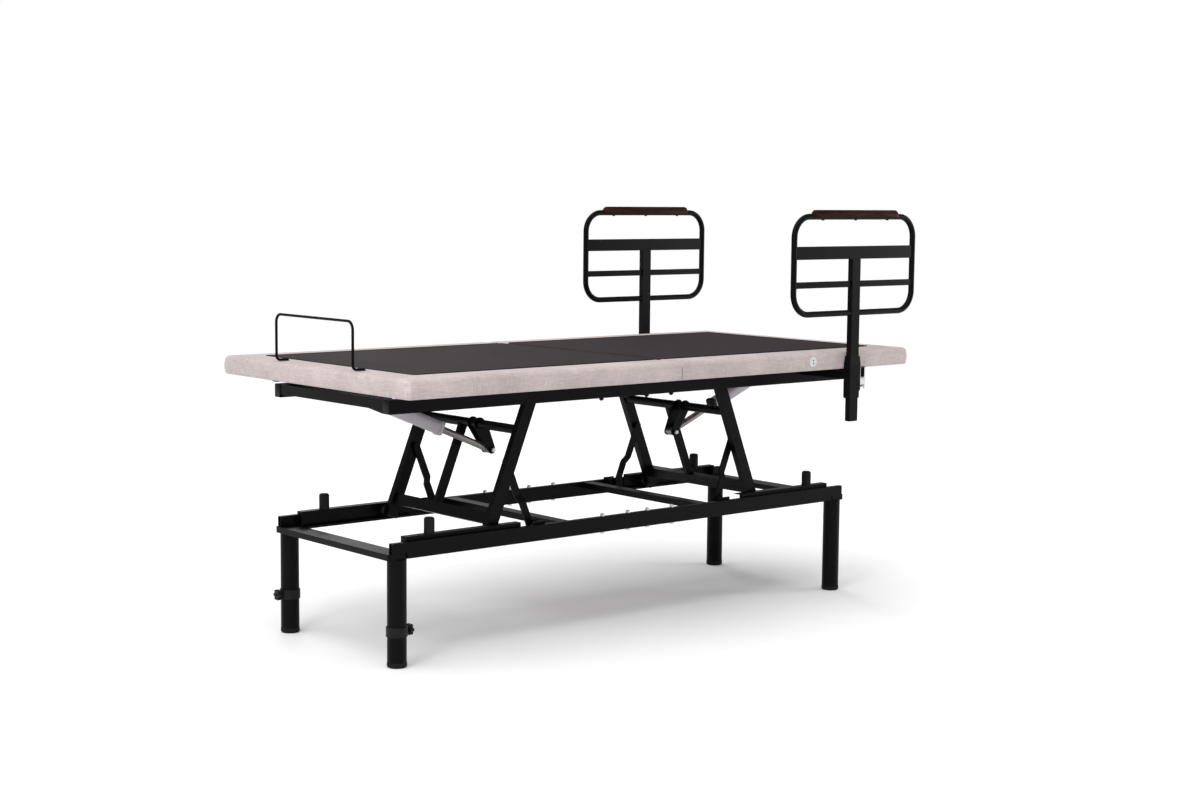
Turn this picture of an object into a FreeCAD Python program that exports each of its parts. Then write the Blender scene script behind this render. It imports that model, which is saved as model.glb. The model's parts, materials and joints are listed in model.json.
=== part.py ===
"""Height-adjustable bed base: padded two-part deck on a scissor-type lift over a floor frame."""

import FreeCAD, Part
import math
import os

from FreeCAD import Vector

# Driving dimensions in millimetres; +X is the head end, -Y the near long side, Z = 0 the floor
DECK_LENGTH = 2020.0
DECK_WIDTH = 978.0
DECK_TOP = 835.0
DECK_BOTTOM = 776.0
DECK_CORNER = 18.0
DECK_EDGE = 13.0
MID_X = -16.0                 # seam between the deck halves, middle of both frames
SEAM_GAP = 3.0
VALLEY_OVERLAP = 20.0         # how far the fold's cut passes the seam
BORDER = 46.0                 # width of the padded rails round the hollow underside
BOARD_BOTTOM = 812.0
COVER_THICK = 3.0
COVER_INSET_END = 89.0
COVER_INSET_SIDE = 104.0
HINGE_Z = 818.0
KNUCKLE_RADIUS = 6.5
HINGE_PIN_RADIUS = 4.0

# Lift geometry: equal half links make every joint turn in a fixed ratio
PIVOT_LOW_Z = 342.0           # link pivots and roller axles
PIVOT_HIGH_Z = 740.0          # leg pivots on the upper frame
PIVOT_SPAN = 382.0            # pivots either side of MID_X
LEG_REACH = 160.0             # how far the roller stands outside its upper pivot
ARM_WIDTH = 38.0
ARM_DEPTH = 22.0
ARM_Y = 247.0
TUBE_WALL = 2.0
PIN_RADIUS = 7.0
RUNNING = 0.05                # radial clearance of pins in their bushes
LINK_THICK = 6.0
LINK_WIDTH = 24.0
LINK_UPPER_Y = 230.0
LINK_LOWER_Y = 244.0
LINK_JOGGLE = (112.0, 134.0)  # distances from the mid-leg pivot where the bar steps outwards
MIDDLE_ARM_Y = 32.0
ACTUATOR_Y = -32.0
CROSS_TUBE_RADIUS = 14.0
CROSS_TUBE_AT = 0.7337        # fraction of the leg above the roller
BOTTOM_BAR_AT = 0.09

# Floor frame
RAIL_OUT = 303.0
RAIL_IN = 287.0
RAIL_LOW = 308.0
RAIL_TOP = 355.0
BASE_HALF = 918.0             # rails either side of MID_X
END_BAR_HALF = 889.5          # leg centres either side of MID_X
END_BAR_WIDTH = 62.0
END_BAR_Z = (307.0, 325.0)
LEG_Y = 284.0
LEG_RADIUS = 27.8
LEG_TOP = 307.0
GLIDE_HEIGHT = 14.0
INNER_BAR_HALF = 287.0
INNER_BAR_Z = (334.0, 354.0)
TRACK_X = (451.0, 860.0)      # distances of the track ends from MID_X
TRACK_IN = 261.0
TRACK_WALL = 3.0
TRACK_INNER_HEIGHT = 44.0
ROLLER_RADIUS = 21.6
ROLLER_WIDTH = 17.0
STOP_X = 772.0
STOP_Y = 275.0
STOP_RADIUS = 15.5
STOP_TOP = 413.6
BOLT_OFFSETS = (40.0, 143.0)

# Upper frame
FRAME_OUT = 301.0
FRAME_IN = 271.0
FRAME_LOW = 717.0
FRAME_TOP = 757.0
FRAME_HALF = 925.0
CROSS_RAIL_LOW = 727.0
BUFFER_TOP = 763.6
SUBFRAME_Z = (764.0, BOARD_BOTTOM)

# Assist rails
ASSIST_X = 718.0
ASSIST_Y = 504.0
LOOP_WIDTH = 577.0
LOOP_LOW = 948.0
LOOP_TOP = 1274.0
LOOP_TUBE = 9.5
LOOP_WALL = 2.0
LOOP_CORNER = 66.0
WIDE_BAR_Z = (1130.0, 1171.0)
THIN_BAR_Z = (1040.0, 1060.0)
BAR_DEPTH = 10.0
POST_WIDTH = 37.0
POST_DEPTH = 20.0
POST_PLAY = 0.4
POST_LOW = 609.0
CAP_LENGTH = 399.0
CAP_DEPTH = 27.0
CAP_TOP = 1286.0
SLEEVE_WIDTH = 49.0
SLEEVE_DEPTH = 28.2
SLEEVE_Z = (681.0, 791.0)
HOOD_TOP = 818.0
HOOD_TAPER = 2.5
OUTRIGGER_Z = (743.0, 772.0)
LATCH_Z = (710.0, 784.0)
LATCH_REACH = 30.5            # how far the pull handle stands off the sleeve
PLUNGER_Z = 716.0

# Retainer, port and collars
RETAINER_X = -995.0
RETAINER_HALF = 202.0
RETAINER_TOP = 972.0
RETAINER_FOOT_X = -955.0
WIRE = 4.0
PORT_X = 550.0
PORT_Z = 805.0
PORT_RADIUS = 16.0
COLLAR_Z = {"near": 102.0, "far": 118.0}

SIDE = {"near": -1.0, "far": 1.0}
END = {"foot": -1.0, "head": 1.0}
AXIS_Y = Vector(0, 1, 0)
AXIS_Z = Vector(0, 0, 1)

LEG_RISE = PIVOT_HIGH_Z - PIVOT_LOW_Z
LEG_LENGTH = math.hypot(LEG_RISE, LEG_REACH)


def box(x, y, z):
    """Block between the two values of each axis, in any order."""
    low = Vector(min(x), min(y), min(z))
    size = [max(v) - min(v) for v in (x, y, z)]
    return Part.makeBox(size[0], size[1], size[2], low)


def rod(start, end, radius, bore=0.0):
    """Round bar, or tube where a bore is given, between two points."""
    along = end - start
    solid = Part.makeCylinder(radius, along.Length, start, along)
    if bore:
        solid = solid.cut(Part.makeCylinder(bore, along.Length, start, along))
    return solid


def cross_rod(x, z, y0, y1, radius, bore=0.0):
    """Round bar or tube along Y."""
    return rod(Vector(x, min(y0, y1), z), Vector(x, max(y0, y1), z), radius, bore)


def fused(shapes):
    """One solid from several that touch or overlap."""
    shapes = list(shapes)
    body = shapes[0]
    if len(shapes) > 1:
        body = body.multiFuse(shapes[1:], 0.001)
    return body.removeSplitter()


def mirrored_y(shapes):
    """The same pieces on the other long side."""
    return [s.mirror(Vector(0, 0, 0), AXIS_Y) for s in shapes]


def both_sides(shapes):
    return list(shapes) + mirrored_y(shapes)


def profile_y(points, y0, y1):
    """Prism of an XZ outline between two Y values."""
    low, high = min(y0, y1), max(y0, y1)
    corners = [Vector(x, low, z) for x, z in points]
    face = Part.Face(Part.makePolygon(corners + corners[:1]))
    return face.extrude(Vector(0, high - low, 0))


def profile_x(points, x0, x1):
    """Prism of a YZ outline between two X values."""
    low, high = min(x0, x1), max(x0, x1)
    corners = [Vector(low, y, z) for y, z in points]
    face = Part.Face(Part.makePolygon(corners + corners[:1]))
    return face.extrude(Vector(high - low, 0, 0))


def rect_tube(start, end, width, depth, wall=TUBE_WALL):
    """Hollow rectangular tube in an XZ plane: width across it, depth along Y."""
    along = end - start
    across = along.cross(AXIS_Y).normalize()

    def bar(w, d):
        corner = start - across * (w / 2) - AXIS_Y * (d / 2)
        points = [corner, corner + across * w, corner + across * w + AXIS_Y * d, corner + AXIS_Y * d]
        return Part.Face(Part.makePolygon(points + points[:1])).extrude(along)

    return bar(width, depth).cut(bar(width - 2 * wall, depth - 2 * wall))


def tube_y(x, z, y0, y1, wall=TUBE_WALL):
    """Hollow rectangular tube along Y over the given X and Z ranges."""
    inner = [(min(v) + wall, max(v) - wall) for v in (x, z)]
    return box(x, (y0, y1), z).cut(box(inner[0], (y0, y1), inner[1]))


def tube_x(x0, x1, y, z, wall=TUBE_WALL):
    """Hollow rectangular tube along X over the given Y and Z ranges."""
    inner = [(min(v) + wall, max(v) - wall) for v in (y, z)]
    return box((x0, x1), y, z).cut(box((x0, x1), inner[0], inner[1]))


def strap(points, radii, y0, y1):
    """Flat plate whose outline wraps circles at the given XZ points."""
    pieces = [cross_rod(x, z, y0, y1, r) for (x, z), r in zip(points, radii)]
    for (p, r), (q, s) in zip(zip(points, radii), list(zip(points, radii))[1:]):
        distance = math.hypot(q[0] - p[0], q[1] - p[1])
        heading = math.atan2(q[1] - p[1], q[0] - p[0])
        spread = math.acos((r - s) / distance)
        outline = []
        for (cx, cz), radius, signs in ((p, r, (1, -1)), (q, s, (-1, 1))):
            for sign in signs:
                angle = heading + sign * spread
                outline.append((cx + radius * math.cos(angle), cz + radius * math.sin(angle)))
        pieces.append(profile_y(outline, y0, y1))
    return fused(pieces)


def rounded_z(solid, radius, keep=lambda edge: True):
    """Round the chosen edges that run along Z."""
    return solid.makeFillet(radius, [e for e in solid.Edges if _along(e, AXIS_Z) and keep(e)])


def _along(edge, axis):
    if not isinstance(edge.Curve, (Part.Line, Part.LineSegment)):
        return False
    direction = edge.Vertexes[-1].Point - edge.Vertexes[0].Point
    return direction.Length > 0 and abs(abs(direction.normalize().dot(axis)) - 1) < 1e-6


def hex_bolt(x, y, z_head, z_end, up=True):
    """M8 bolt along Z with a hexagon head and a nut near its end."""
    lift = 1 if up else -1
    low, high = sorted((z_head, z_end))
    shank = rod(Vector(x, y, low), Vector(x, y, high), 4.0)
    pieces = [shank]
    for z0, height in ((z_head, -5.0 * lift), (z_end - 9.0 * lift, 6.5 * lift)):
        corners = [Vector(x + 7.5 * math.cos(k * math.pi / 3), y + 7.5 * math.sin(k * math.pi / 3), z0)
                   for k in range(7)]
        pieces.append(Part.Face(Part.makePolygon(corners)).extrude(Vector(0, 0, height)))
    return fused(pieces)


def save(name, *shapes):
    """Write one node."""
    shape = shapes[0] if len(shapes) == 1 else Part.makeCompound(list(shapes))
    if not shape.isValid():
        print("not valid:", name)
    shape.exportStep("parts/%s.step" % name)


# Points of the lift; end is -1 for the foot side and +1 for the head side

def upper_pivot(end):
    return Vector(MID_X + end * PIVOT_SPAN, 0, PIVOT_HIGH_Z)


def base_pivot(end):
    return Vector(MID_X + end * PIVOT_SPAN, 0, PIVOT_LOW_Z)


def roller_axle(end):
    return Vector(MID_X + end * (PIVOT_SPAN + LEG_REACH), 0, PIVOT_LOW_Z)


def on_leg(end, fraction):
    """Point on a leg's centre line, 0 at the roller and 1 at the upper pivot."""
    low, high = roller_axle(end), upper_pivot(end)
    return low + (high - low) * fraction


def shifted(point, y):
    return Vector(point.x, y, point.z)


# Floor frame

def base_rail(end, side):
    """Half of a side rail: a closed tube notched at its end over the end bar."""
    inner, outer = MID_X + end * 0.5, MID_X + end * BASE_HALF
    y = (side * RAIL_IN, side * RAIL_OUT)
    rail = tube_x(inner, outer, y, (RAIL_LOW, RAIL_TOP))
    notch_start = MID_X + end * (END_BAR_HALF + 8 - END_BAR_WIDTH / 2)
    rail = rail.cut(box((notch_start, outer + end), (side * 280, side * 310), (300, END_BAR_Z[1])))
    floor_plate = box((notch_start, outer), y, (END_BAR_Z[1], END_BAR_Z[1] + TUBE_WALL))
    rail = rail.fuse(floor_plate)
    for offset in BOLT_OFFSETS:
        rail = rail.cut(rod(Vector(MID_X + end * offset, side * 295, 300),
                            Vector(MID_X + end * offset, side * 295, 360), 4.3))
    return rail.removeSplitter()


def end_bar(end):
    """Flat oval-cornered tube under the rails at one end of the floor frame."""
    centre = MID_X + end * (END_BAR_HALF + 8)
    x = (centre - END_BAR_WIDTH / 2, centre + END_BAR_WIDTH / 2)
    outer = rounded_z(box(x, (-RAIL_OUT, RAIL_OUT), END_BAR_Z), 10)
    inner = box((x[0] + 3, x[1] - 3), (-RAIL_OUT + 12, RAIL_OUT - 12), (END_BAR_Z[0] + 3, END_BAR_Z[1] + 1))
    lid = box((x[0] + 3, x[1] - 3), (-RAIL_OUT + 12, RAIL_OUT - 12), (END_BAR_Z[1] - 3, END_BAR_Z[1]))
    openings = [rod(Vector(centre, y, END_BAR_Z[0] - 1), Vector(centre, y, END_BAR_Z[0] + 4), 9) for y in (-120, 120)]
    return outer.cut(inner).fuse(lid).cut(Part.makeCompound(openings)).removeSplitter()


def inner_bar(end):
    centre = MID_X + end * INNER_BAR_HALF
    return tube_y((centre - 20, centre + 20), INNER_BAR_Z, -RAIL_IN, RAIL_IN)


def roller_track(end, side):
    """C channel, open towards the middle of the bed, in which a roller runs."""
    z_low = PIVOT_LOW_Z - TRACK_INNER_HEIGHT / 2 - TRACK_WALL
    z_high = PIVOT_LOW_Z + TRACK_INNER_HEIGHT / 2 + TRACK_WALL
    x = (MID_X + end * TRACK_X[0], MID_X + end * TRACK_X[1])
    channel = box(x, (side * TRACK_IN, side * RAIL_IN), (z_low, z_high))
    hollow = box((x[0] - end, x[1] + end), (side * (TRACK_IN - 1), side * (RAIL_IN - TRACK_WALL)),
                 (z_low + TRACK_WALL, z_high - TRACK_WALL))
    end_stop = box((x[1] - end * 4, x[1]), (side * TRACK_IN, side * RAIL_IN), (z_low, z_high))
    return channel.cut(hollow).fuse(end_stop).removeSplitter()


def leg(end, side):
    """Round leg tube with a closed head under the end bar."""
    foot = Vector(MID_X + end * END_BAR_HALF, side * LEG_Y, GLIDE_HEIGHT)
    tube = rod(foot, Vector(foot.x, foot.y, LEG_TOP), LEG_RADIUS, LEG_RADIUS - 2.5)
    cap = rod(Vector(foot.x, foot.y, LEG_TOP - 4), Vector(foot.x, foot.y, LEG_TOP), LEG_RADIUS)
    return tube.fuse(cap).removeSplitter()


def leg_glide(end, side):
    """Foot with a spigot in the tube and a bevelled bottom edge."""
    x, y = MID_X + end * END_BAR_HALF, side * LEG_Y
    disc = rod(Vector(x, y, 0), Vector(x, y, GLIDE_HEIGHT), LEG_RADIUS + 0.6)
    bottom = [e for e in disc.Edges if abs(e.BoundBox.ZMax) < 1e-6 and abs(e.BoundBox.ZMin) < 1e-6]
    disc = disc.makeChamfer(3, bottom)
    spigot = rod(Vector(x, y, GLIDE_HEIGHT), Vector(x, y, GLIDE_HEIGHT + 25), LEG_RADIUS - 2.6)
    return disc.fuse(spigot).removeSplitter()


def stop_post(end, side):
    """Rubber-topped post on the track that the lowered upper frame lands on."""
    x, y = MID_X + end * STOP_X, side * STOP_Y
    foot_z = PIVOT_LOW_Z + TRACK_INNER_HEIGHT / 2 + TRACK_WALL
    post = rod(Vector(x, y, foot_z), Vector(x, y, STOP_TOP), STOP_RADIUS)
    top = [e for e in post.Edges if abs(e.BoundBox.ZMin - STOP_TOP) < 1e-6]
    return post.makeChamfer(4, top)


def base_bolts():
    bolts = []
    for side in SIDE.values():
        for end in END.values():
            for offset in BOLT_OFFSETS:
                bolts.append(hex_bolt(MID_X + end * offset, side * 295, RAIL_LOW, RAIL_TOP + 10))
    return bolts


def link_bracket(end, side):
    """U-shaped bracket on the rail; its free ear carries the link's lower pin."""
    pivot = base_pivot(end)
    x = (pivot.x - 22, pivot.x + 22)
    y_free, y_rail = side * 250, side * RAIL_IN
    z = (PIVOT_LOW_Z - 24, PIVOT_LOW_Z + 22)
    shell = box(x, (y_free, y_rail), z).cut(box((x[0] - 1, x[1] + 1), (side * 253, side * (RAIL_IN - 3)),
                                               (z[0] + 3, z[1] + 1)))
    pin = cross_rod(pivot.x, pivot.z, side * 238, side * (RAIL_IN - 1), PIN_RADIUS)
    head = cross_rod(pivot.x, pivot.z, side * 236, side * 239.5, PIN_RADIUS + 4)
    return fused([shell, pin, head])


def leg_collar(side):
    """Clamp band round a foot leg with a boss for its knob."""
    x, y, z = MID_X - END_BAR_HALF, side * LEG_Y, COLLAR_Z["near" if side < 0 else "far"]
    band = rod(Vector(x, y, z - 14), Vector(x, y, z + 14), LEG_RADIUS + 3.2, LEG_RADIUS)
    heading = knob_heading(side)
    start = Vector(x, y, z) + heading * (LEG_RADIUS + 1.5)
    boss = rod(start, start + heading * 6, 7, 3.6)
    return band.fuse(boss).cut(rod(start - heading * 3, start + heading * 8, 3.6)).removeSplitter()


def knob_heading(side):
    """The near knob faces the head end, the far knob the foot end."""
    return Vector(-side, 0, 0)


def collar_knob(side):
    """Star knob with six lobes on a short stud."""
    x, y, z = MID_X - END_BAR_HALF, side * LEG_Y, COLLAR_Z["near" if side < 0 else "far"]
    heading = knob_heading(side)
    face = Vector(x, y, z) + heading * (LEG_RADIUS + 8.2)
    pieces = [rod(face, face + heading * 12, 12)]
    for k in range(6):
        angle = k * math.pi / 3
        offset = Vector(0, 12 * math.cos(angle), 12 * math.sin(angle))
        pieces.append(rod(face + offset, face + offset + heading * 12, 5))
    pieces.append(rod(face - heading * 6, face + heading * 16, 3.5))
    return fused(pieces)


# Lift

def link_bar(end, side):
    """Flat bar from the mid-leg pin to the base pin, stepped outwards on its way down."""
    top, low = on_leg(end, 0.5), base_pivot(end)
    length = (low - top).Length
    half = LINK_THICK / 2
    y_top, y_low = side * LINK_UPPER_Y, side * LINK_LOWER_Y
    # the side view outline is cut by the stepped front view, drawn along the bar
    outline = strap([(0, 0), (length, 0)], [LINK_WIDTH / 2, LINK_WIDTH / 2], -300, 300)
    step = [(-40, y_top - half), (LINK_JOGGLE[0], y_top - half), (LINK_JOGGLE[1], y_low - half),
            (length + 40, y_low - half), (length + 40, y_low + half), (LINK_JOGGLE[1], y_low + half),
            (LINK_JOGGLE[0], y_top + half), (-40, y_top + half)]
    corners = [Vector(x, y, -40) for x, y in step]
    stepped = Part.Face(Part.makePolygon(corners + corners[:1])).extrude(Vector(0, 0, 80))
    bar = outline.common(stepped)
    bore = PIN_RADIUS + (RUNNING if end < 0 else 1.2)
    bar = bar.cut(cross_rod(length, 0, y_low - 10, y_low + 10, bore))
    angle = math.degrees(math.atan2(-(low.z - top.z), low.x - top.x))
    bar.rotate(Vector(0, 0, 0), AXIS_Y, angle)
    bar.translate(Vector(top.x, 0, top.z))
    pin = cross_rod(top.x, top.z, side * (LINK_UPPER_Y - half), side * (ARM_Y + ARM_DEPTH / 2 + 1.2), PIN_RADIUS)
    head = cross_rod(top.x, top.z, side * (LINK_UPPER_Y - half - 3), side * (LINK_UPPER_Y - half), PIN_RADIUS + 4)
    return fused([bar, pin, head])


def outer_arm(end, side):
    """Leg arm of rectangular tube with welded bushes at its ends and middle."""
    low, high = roller_axle(end), upper_pivot(end)
    along = (high - low).normalize()
    y = side * ARM_Y
    overhang = ARM_WIDTH / 2 + 1
    tube = rect_tube(shifted(low - along * overhang, y), shifted(high + along * overhang, y), ARM_WIDTH, ARM_DEPTH)
    y0, y1 = y - ARM_DEPTH / 2, y + ARM_DEPTH / 2
    pieces = [tube] + [cross_rod(p.x, p.z, y0, y1, 12) for p in (low, on_leg(end, 0.5), high)]
    arm = fused(pieces)
    for point in (on_leg(end, 0.5), high):
        arm = arm.cut(cross_rod(point.x, point.z, y0 - 1, y1 + 1, PIN_RADIUS + RUNNING))
    axle = fused([cross_rod(low.x, low.z, y, side * (RAIL_IN - TRACK_WALL - 1), 6),
                  cross_rod(low.x, low.z, side * (ARM_Y + ARM_DEPTH / 2), side * (TRACK_IN + 3), 9)])
    return fused([arm, axle])


def middle_arm(end):
    """Thinner arm from the bottom bar to the cross tube, coped round the tube."""
    start, stop = on_leg(end, BOTTOM_BAR_AT), on_leg(end, CROSS_TUBE_AT)
    along = (stop - start).normalize()
    arm = rect_tube(shifted(start + along * 17.6, MIDDLE_ARM_Y),
                    shifted(stop - along * 6.0, MIDDLE_ARM_Y), 26, 15)
    return arm.cut(cross_rod(stop.x, stop.z, 0, 2 * MIDDLE_ARM_Y, CROSS_TUBE_RADIUS))


def cross_members(end):
    """Round cross tube and flat bottom bar that tie the arms together."""
    reach = ARM_Y - ARM_DEPTH / 2
    tube_at = on_leg(end, CROSS_TUBE_AT)
    tube = cross_rod(tube_at.x, tube_at.z, -reach, reach, CROSS_TUBE_RADIUS, CROSS_TUBE_RADIUS - 2)
    centre = on_leg(end, BOTTOM_BAR_AT)
    along = (upper_pivot(end) - roller_axle(end)).normalize()
    across = along.cross(AXIS_Y)

    def bar(height, depth):
        corner = shifted(centre, -reach) - along * (height / 2) - across * (depth / 2)
        points = [corner, corner + along * height, corner + along * height + across * depth, corner + across * depth]
        return Part.Face(Part.makePolygon(points + points[:1])).extrude(AXIS_Y * (2 * reach))

    return [tube, bar(35, 20).cut(bar(31, 16))]


def rod_pin(end):
    """Where the lift actuator's rod takes hold of the leg frame's bracket."""
    return Vector(MID_X + end * 378, ACTUATOR_Y, 552)


def rear_pin(end):
    """Where the lift actuator's rear end hangs in the upper frame."""
    return Vector(MID_X + end * 830, ACTUATOR_Y, 741)


def actuator_bracket(end):
    """Two tapering plates on the cross tube with the rod's pin between them."""
    tube_at = on_leg(end, CROSS_TUBE_AT)
    pin = rod_pin(end)
    pieces = []
    shoulder = (tube_at.x - end * 17, tube_at.z - 13)
    corners = [(tube_at.x, tube_at.z), shoulder, (pin.x, pin.z), (tube_at.x, tube_at.z)]
    for y in (ACTUATOR_Y - 19, ACTUATOR_Y + 15):
        outline = strap(corners, [20, 16, 13, 20], y, y + 4)
        web = profile_y(corners[:3], y, y + 4)
        pieces.append(outline.fuse(web).cut(cross_rod(tube_at.x, tube_at.z, y - 1, y + 5, CROSS_TUBE_RADIUS)))
    pieces.append(cross_rod(pin.x, pin.z, ACTUATOR_Y - 23, ACTUATOR_Y + 23, 5))
    for y in (ACTUATOR_Y - 24, ACTUATOR_Y + 19):
        pieces.append(cross_rod(pin.x, pin.z, y, y + 5, 8))
    return fused(pieces)


def roller(end, side):
    """Grooved wheel with a bored hub."""
    centre = roller_axle(end)
    y0 = side * (TRACK_IN + 4)
    y1 = y0 + side * ROLLER_WIDTH
    wheel = cross_rod(centre.x, centre.z, y0, y1, ROLLER_RADIUS)
    rim = [e for e in wheel.Edges if isinstance(e.Curve, Part.Circle)]
    wheel = wheel.makeChamfer(1.5, rim)
    dish = cross_rod(centre.x, centre.z, y0, y0 + side * 3, ROLLER_RADIUS - 5, 10)
    return wheel.cut(dish).cut(cross_rod(centre.x, centre.z, y0 - 1 * side, y1 + 1 * side, 6 + RUNNING))


# Electric actuators: a rod with an eye at its pin and a housing behind it

MOTOR_RADIUS = 17.0
EYE_CORNER = 8.0
EYE_WALL = 3.5
LIFT_ROD_RADIUS = 10.5
DECK_ROD_RADIUS = 7.5

def actuator_rod(pin, rear, radius, length, eye_width, eye_radius=12.0, pin_radius=5.0):
    """Rod from its eye at the pin, long enough to stay in the housing."""
    along = (rear - pin).normalize()
    eye = cross_rod(pin.x, pin.z, pin.y - eye_width / 2, pin.y + eye_width / 2, eye_radius)
    neck = rod(pin, pin + along * (eye_radius + 8), radius - 1)
    body = rod(pin + along * (eye_radius + 3), pin + along * length, radius)
    shape = fused([eye, neck, body])
    return shape.cut(cross_rod(pin.x, pin.z, pin.y - eye_width, pin.y + eye_width, pin_radius + RUNNING))


def actuator_housing(pin, rear, radius, housing_from, width, height, window, motor_side):
    """Extruded housing, gear case, motor and a windowed tongue round the rear pin."""
    along = (rear - pin).normalize()
    across = along.cross(AXIS_Y).normalize()
    length = (rear - pin).Length

    def block(start, end, w, h, corner):
        base = pin + along * start - across * (h / 2) - AXIS_Y * (w / 2)
        points = [base, base + across * h, base + across * h + AXIS_Y * w, base + AXIS_Y * w]
        solid = Part.Face(Part.makePolygon(points + points[:1])).extrude(along * (end - start))
        edges = [e for e in solid.Edges if _along(e, along)]
        return solid.makeFillet(corner, edges) if corner else solid

    gear_to = length - window[0] - 22
    gear_from = gear_to - 57
    front = block(housing_from, housing_from + 14, width + 3, height + 3, 9)
    profile = block(housing_from + 13, gear_from + 1, width, height, 11)
    gear = block(gear_from, gear_to, width + 10, height + 10, 12)
    motor_y = motor_side * (width / 2 + MOTOR_RADIUS + 1)
    motor_start = pin + along * (gear_from - 120) + AXIS_Y * motor_y
    motor = rod(motor_start, pin + along * (gear_to - 8) + AXIS_Y * motor_y, MOTOR_RADIUS)
    bridge = block(gear_from + 4, gear_to - 8, width + 2 * abs(motor_y) - 10, height - 12, 6)
    half_space = box((-2000, 2000), (pin.y, pin.y + motor_side * 400), (0, 1500))
    shape = fused([front, profile, gear, motor, bridge.common(half_space)])
    half_along, half_across = window
    tongue = block(gear_to - 1, length + half_along + EYE_WALL, 14, 2 * (half_across + EYE_WALL), 0)
    ends = [e for e in tongue.Edges if _along(e, AXIS_Y) and (e.CenterOfMass - pin).dot(along) > length]
    shape = fused([shape, tongue.makeFillet(EYE_CORNER, ends)])
    bore = rod(pin + along * (housing_from - 1), pin + along * (gear_from - 4), radius + 0.4)
    opening = block(length - half_along, length + half_along, 20, 2 * half_across, 0)
    return shape.cut(bore).cut(opening)


# Upper frame

def side_rail(end, side):
    inner, outer = MID_X + end * 0.5, MID_X + end * FRAME_HALF
    rail = tube_x(inner, outer, (side * FRAME_IN, side * FRAME_OUT), (FRAME_LOW, FRAME_TOP))
    for offset in BOLT_OFFSETS:
        x = MID_X + end * offset
        rail = rail.cut(rod(Vector(x, side * 286, FRAME_LOW - 1), Vector(x, side * 286, FRAME_TOP + 1), 4.3))
    return rail


CROSS_RAILS = (FRAME_HALF - 15, 339.0)    # distances of the cross tubes from MID_X


def frame_cross_rails():
    """Cross tubes: frame ends, actuator carriers and the two beside the middle."""
    rails = []
    for end in END.values():
        for half in CROSS_RAILS:
            centre = MID_X + end * half
            rails.append(tube_y((centre - 15, centre + 15), (CROSS_RAIL_LOW, FRAME_TOP), -FRAME_IN, FRAME_IN))
    return rails


def frame_brackets():
    """Corner gussets, splice plates, pivot bosses, actuator lugs and hinge posts."""
    pieces = []
    for end in END.values():
        corner = MID_X + end * (FRAME_HALF - 3)
        gusset = profile_x([(FRAME_IN, FRAME_LOW), (FRAME_IN, CROSS_RAIL_LOW), (194, CROSS_RAIL_LOW)],
                           corner, corner - end * 5)
        pivot = upper_pivot(end)
        boss = cross_rod(pivot.x, pivot.z, 261, FRAME_IN, 14)
        pin = cross_rod(pivot.x, pivot.z, 233, 261, PIN_RADIUS)
        clip = cross_rod(pivot.x, pivot.z, 232.6, 235.6, PIN_RADIUS + 3)
        pieces += both_sides([gusset, fused([boss, pin, clip])])
        rear = rear_pin(end)
        lugs = [cross_rod(rear.x, rear.z, y, y + 4, 14) for y in (ACTUATOR_Y - 16, ACTUATOR_Y + 12)]
        carrier = MID_X + end * (CROSS_RAILS[0] - 15)
        plates = [box((rear.x, carrier), (y, y + 4), (727, 755)) for y in (ACTUATOR_Y - 16, ACTUATOR_Y + 12)]
        lug_pin = cross_rod(rear.x, rear.z, ACTUATOR_Y - 18, ACTUATOR_Y + 18, 6)
        pieces.append(fused(lugs + plates + [lug_pin]))
    splice = box((MID_X - 160, MID_X + 160), (FRAME_IN - 4, FRAME_IN), (722, 752))
    post = fused([box((MID_X - 10, MID_X + 10), (FRAME_IN - 12, FRAME_IN - 4), (724, HINGE_Z)),
                  cross_rod(MID_X, HINGE_Z, FRAME_IN - 12, FRAME_IN - 4, KNUCKLE_RADIUS)])
    hinge_pin = cross_rod(MID_X, HINGE_Z, 200, FRAME_IN - 12, HINGE_PIN_RADIUS)
    pieces += both_sides([splice, post, hinge_pin])
    pieces += deck_actuator_lugs()
    return pieces


def frame_bolts():
    bolts = []
    for side in SIDE.values():
        for end in END.values():
            for offset in BOLT_OFFSETS:
                bolts.append(hex_bolt(MID_X + end * offset, side * 286, FRAME_TOP, FRAME_LOW - 9, up=False))
    return bolts


def frame_buffers():
    """Rubber pads on the side rails that carry the deck's sub-frames."""
    pads = []
    for end in END.values():
        for offset in (240.0, 560.0, 860.0):
            x = MID_X + end * offset
            pads += both_sides([box((x - 20, x + 20), (275, 297), (FRAME_TOP, BUFFER_TOP))])
    return pads


def control_box():
    """Closed case of the drive electronics, on the cross rail beside the foot half's middle."""
    x0 = MID_X - CROSS_RAILS[1] + 15
    case = rounded_z(box((x0, x0 + 150), (100, 205), (719, 756)), 6)
    sockets = [box((x0 + 149, x0 + 151), (112 + 20 * k, 126 + 20 * k), (728, 742)) for k in range(4)]
    return case.cut(Part.makeCompound(sockets))


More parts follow.
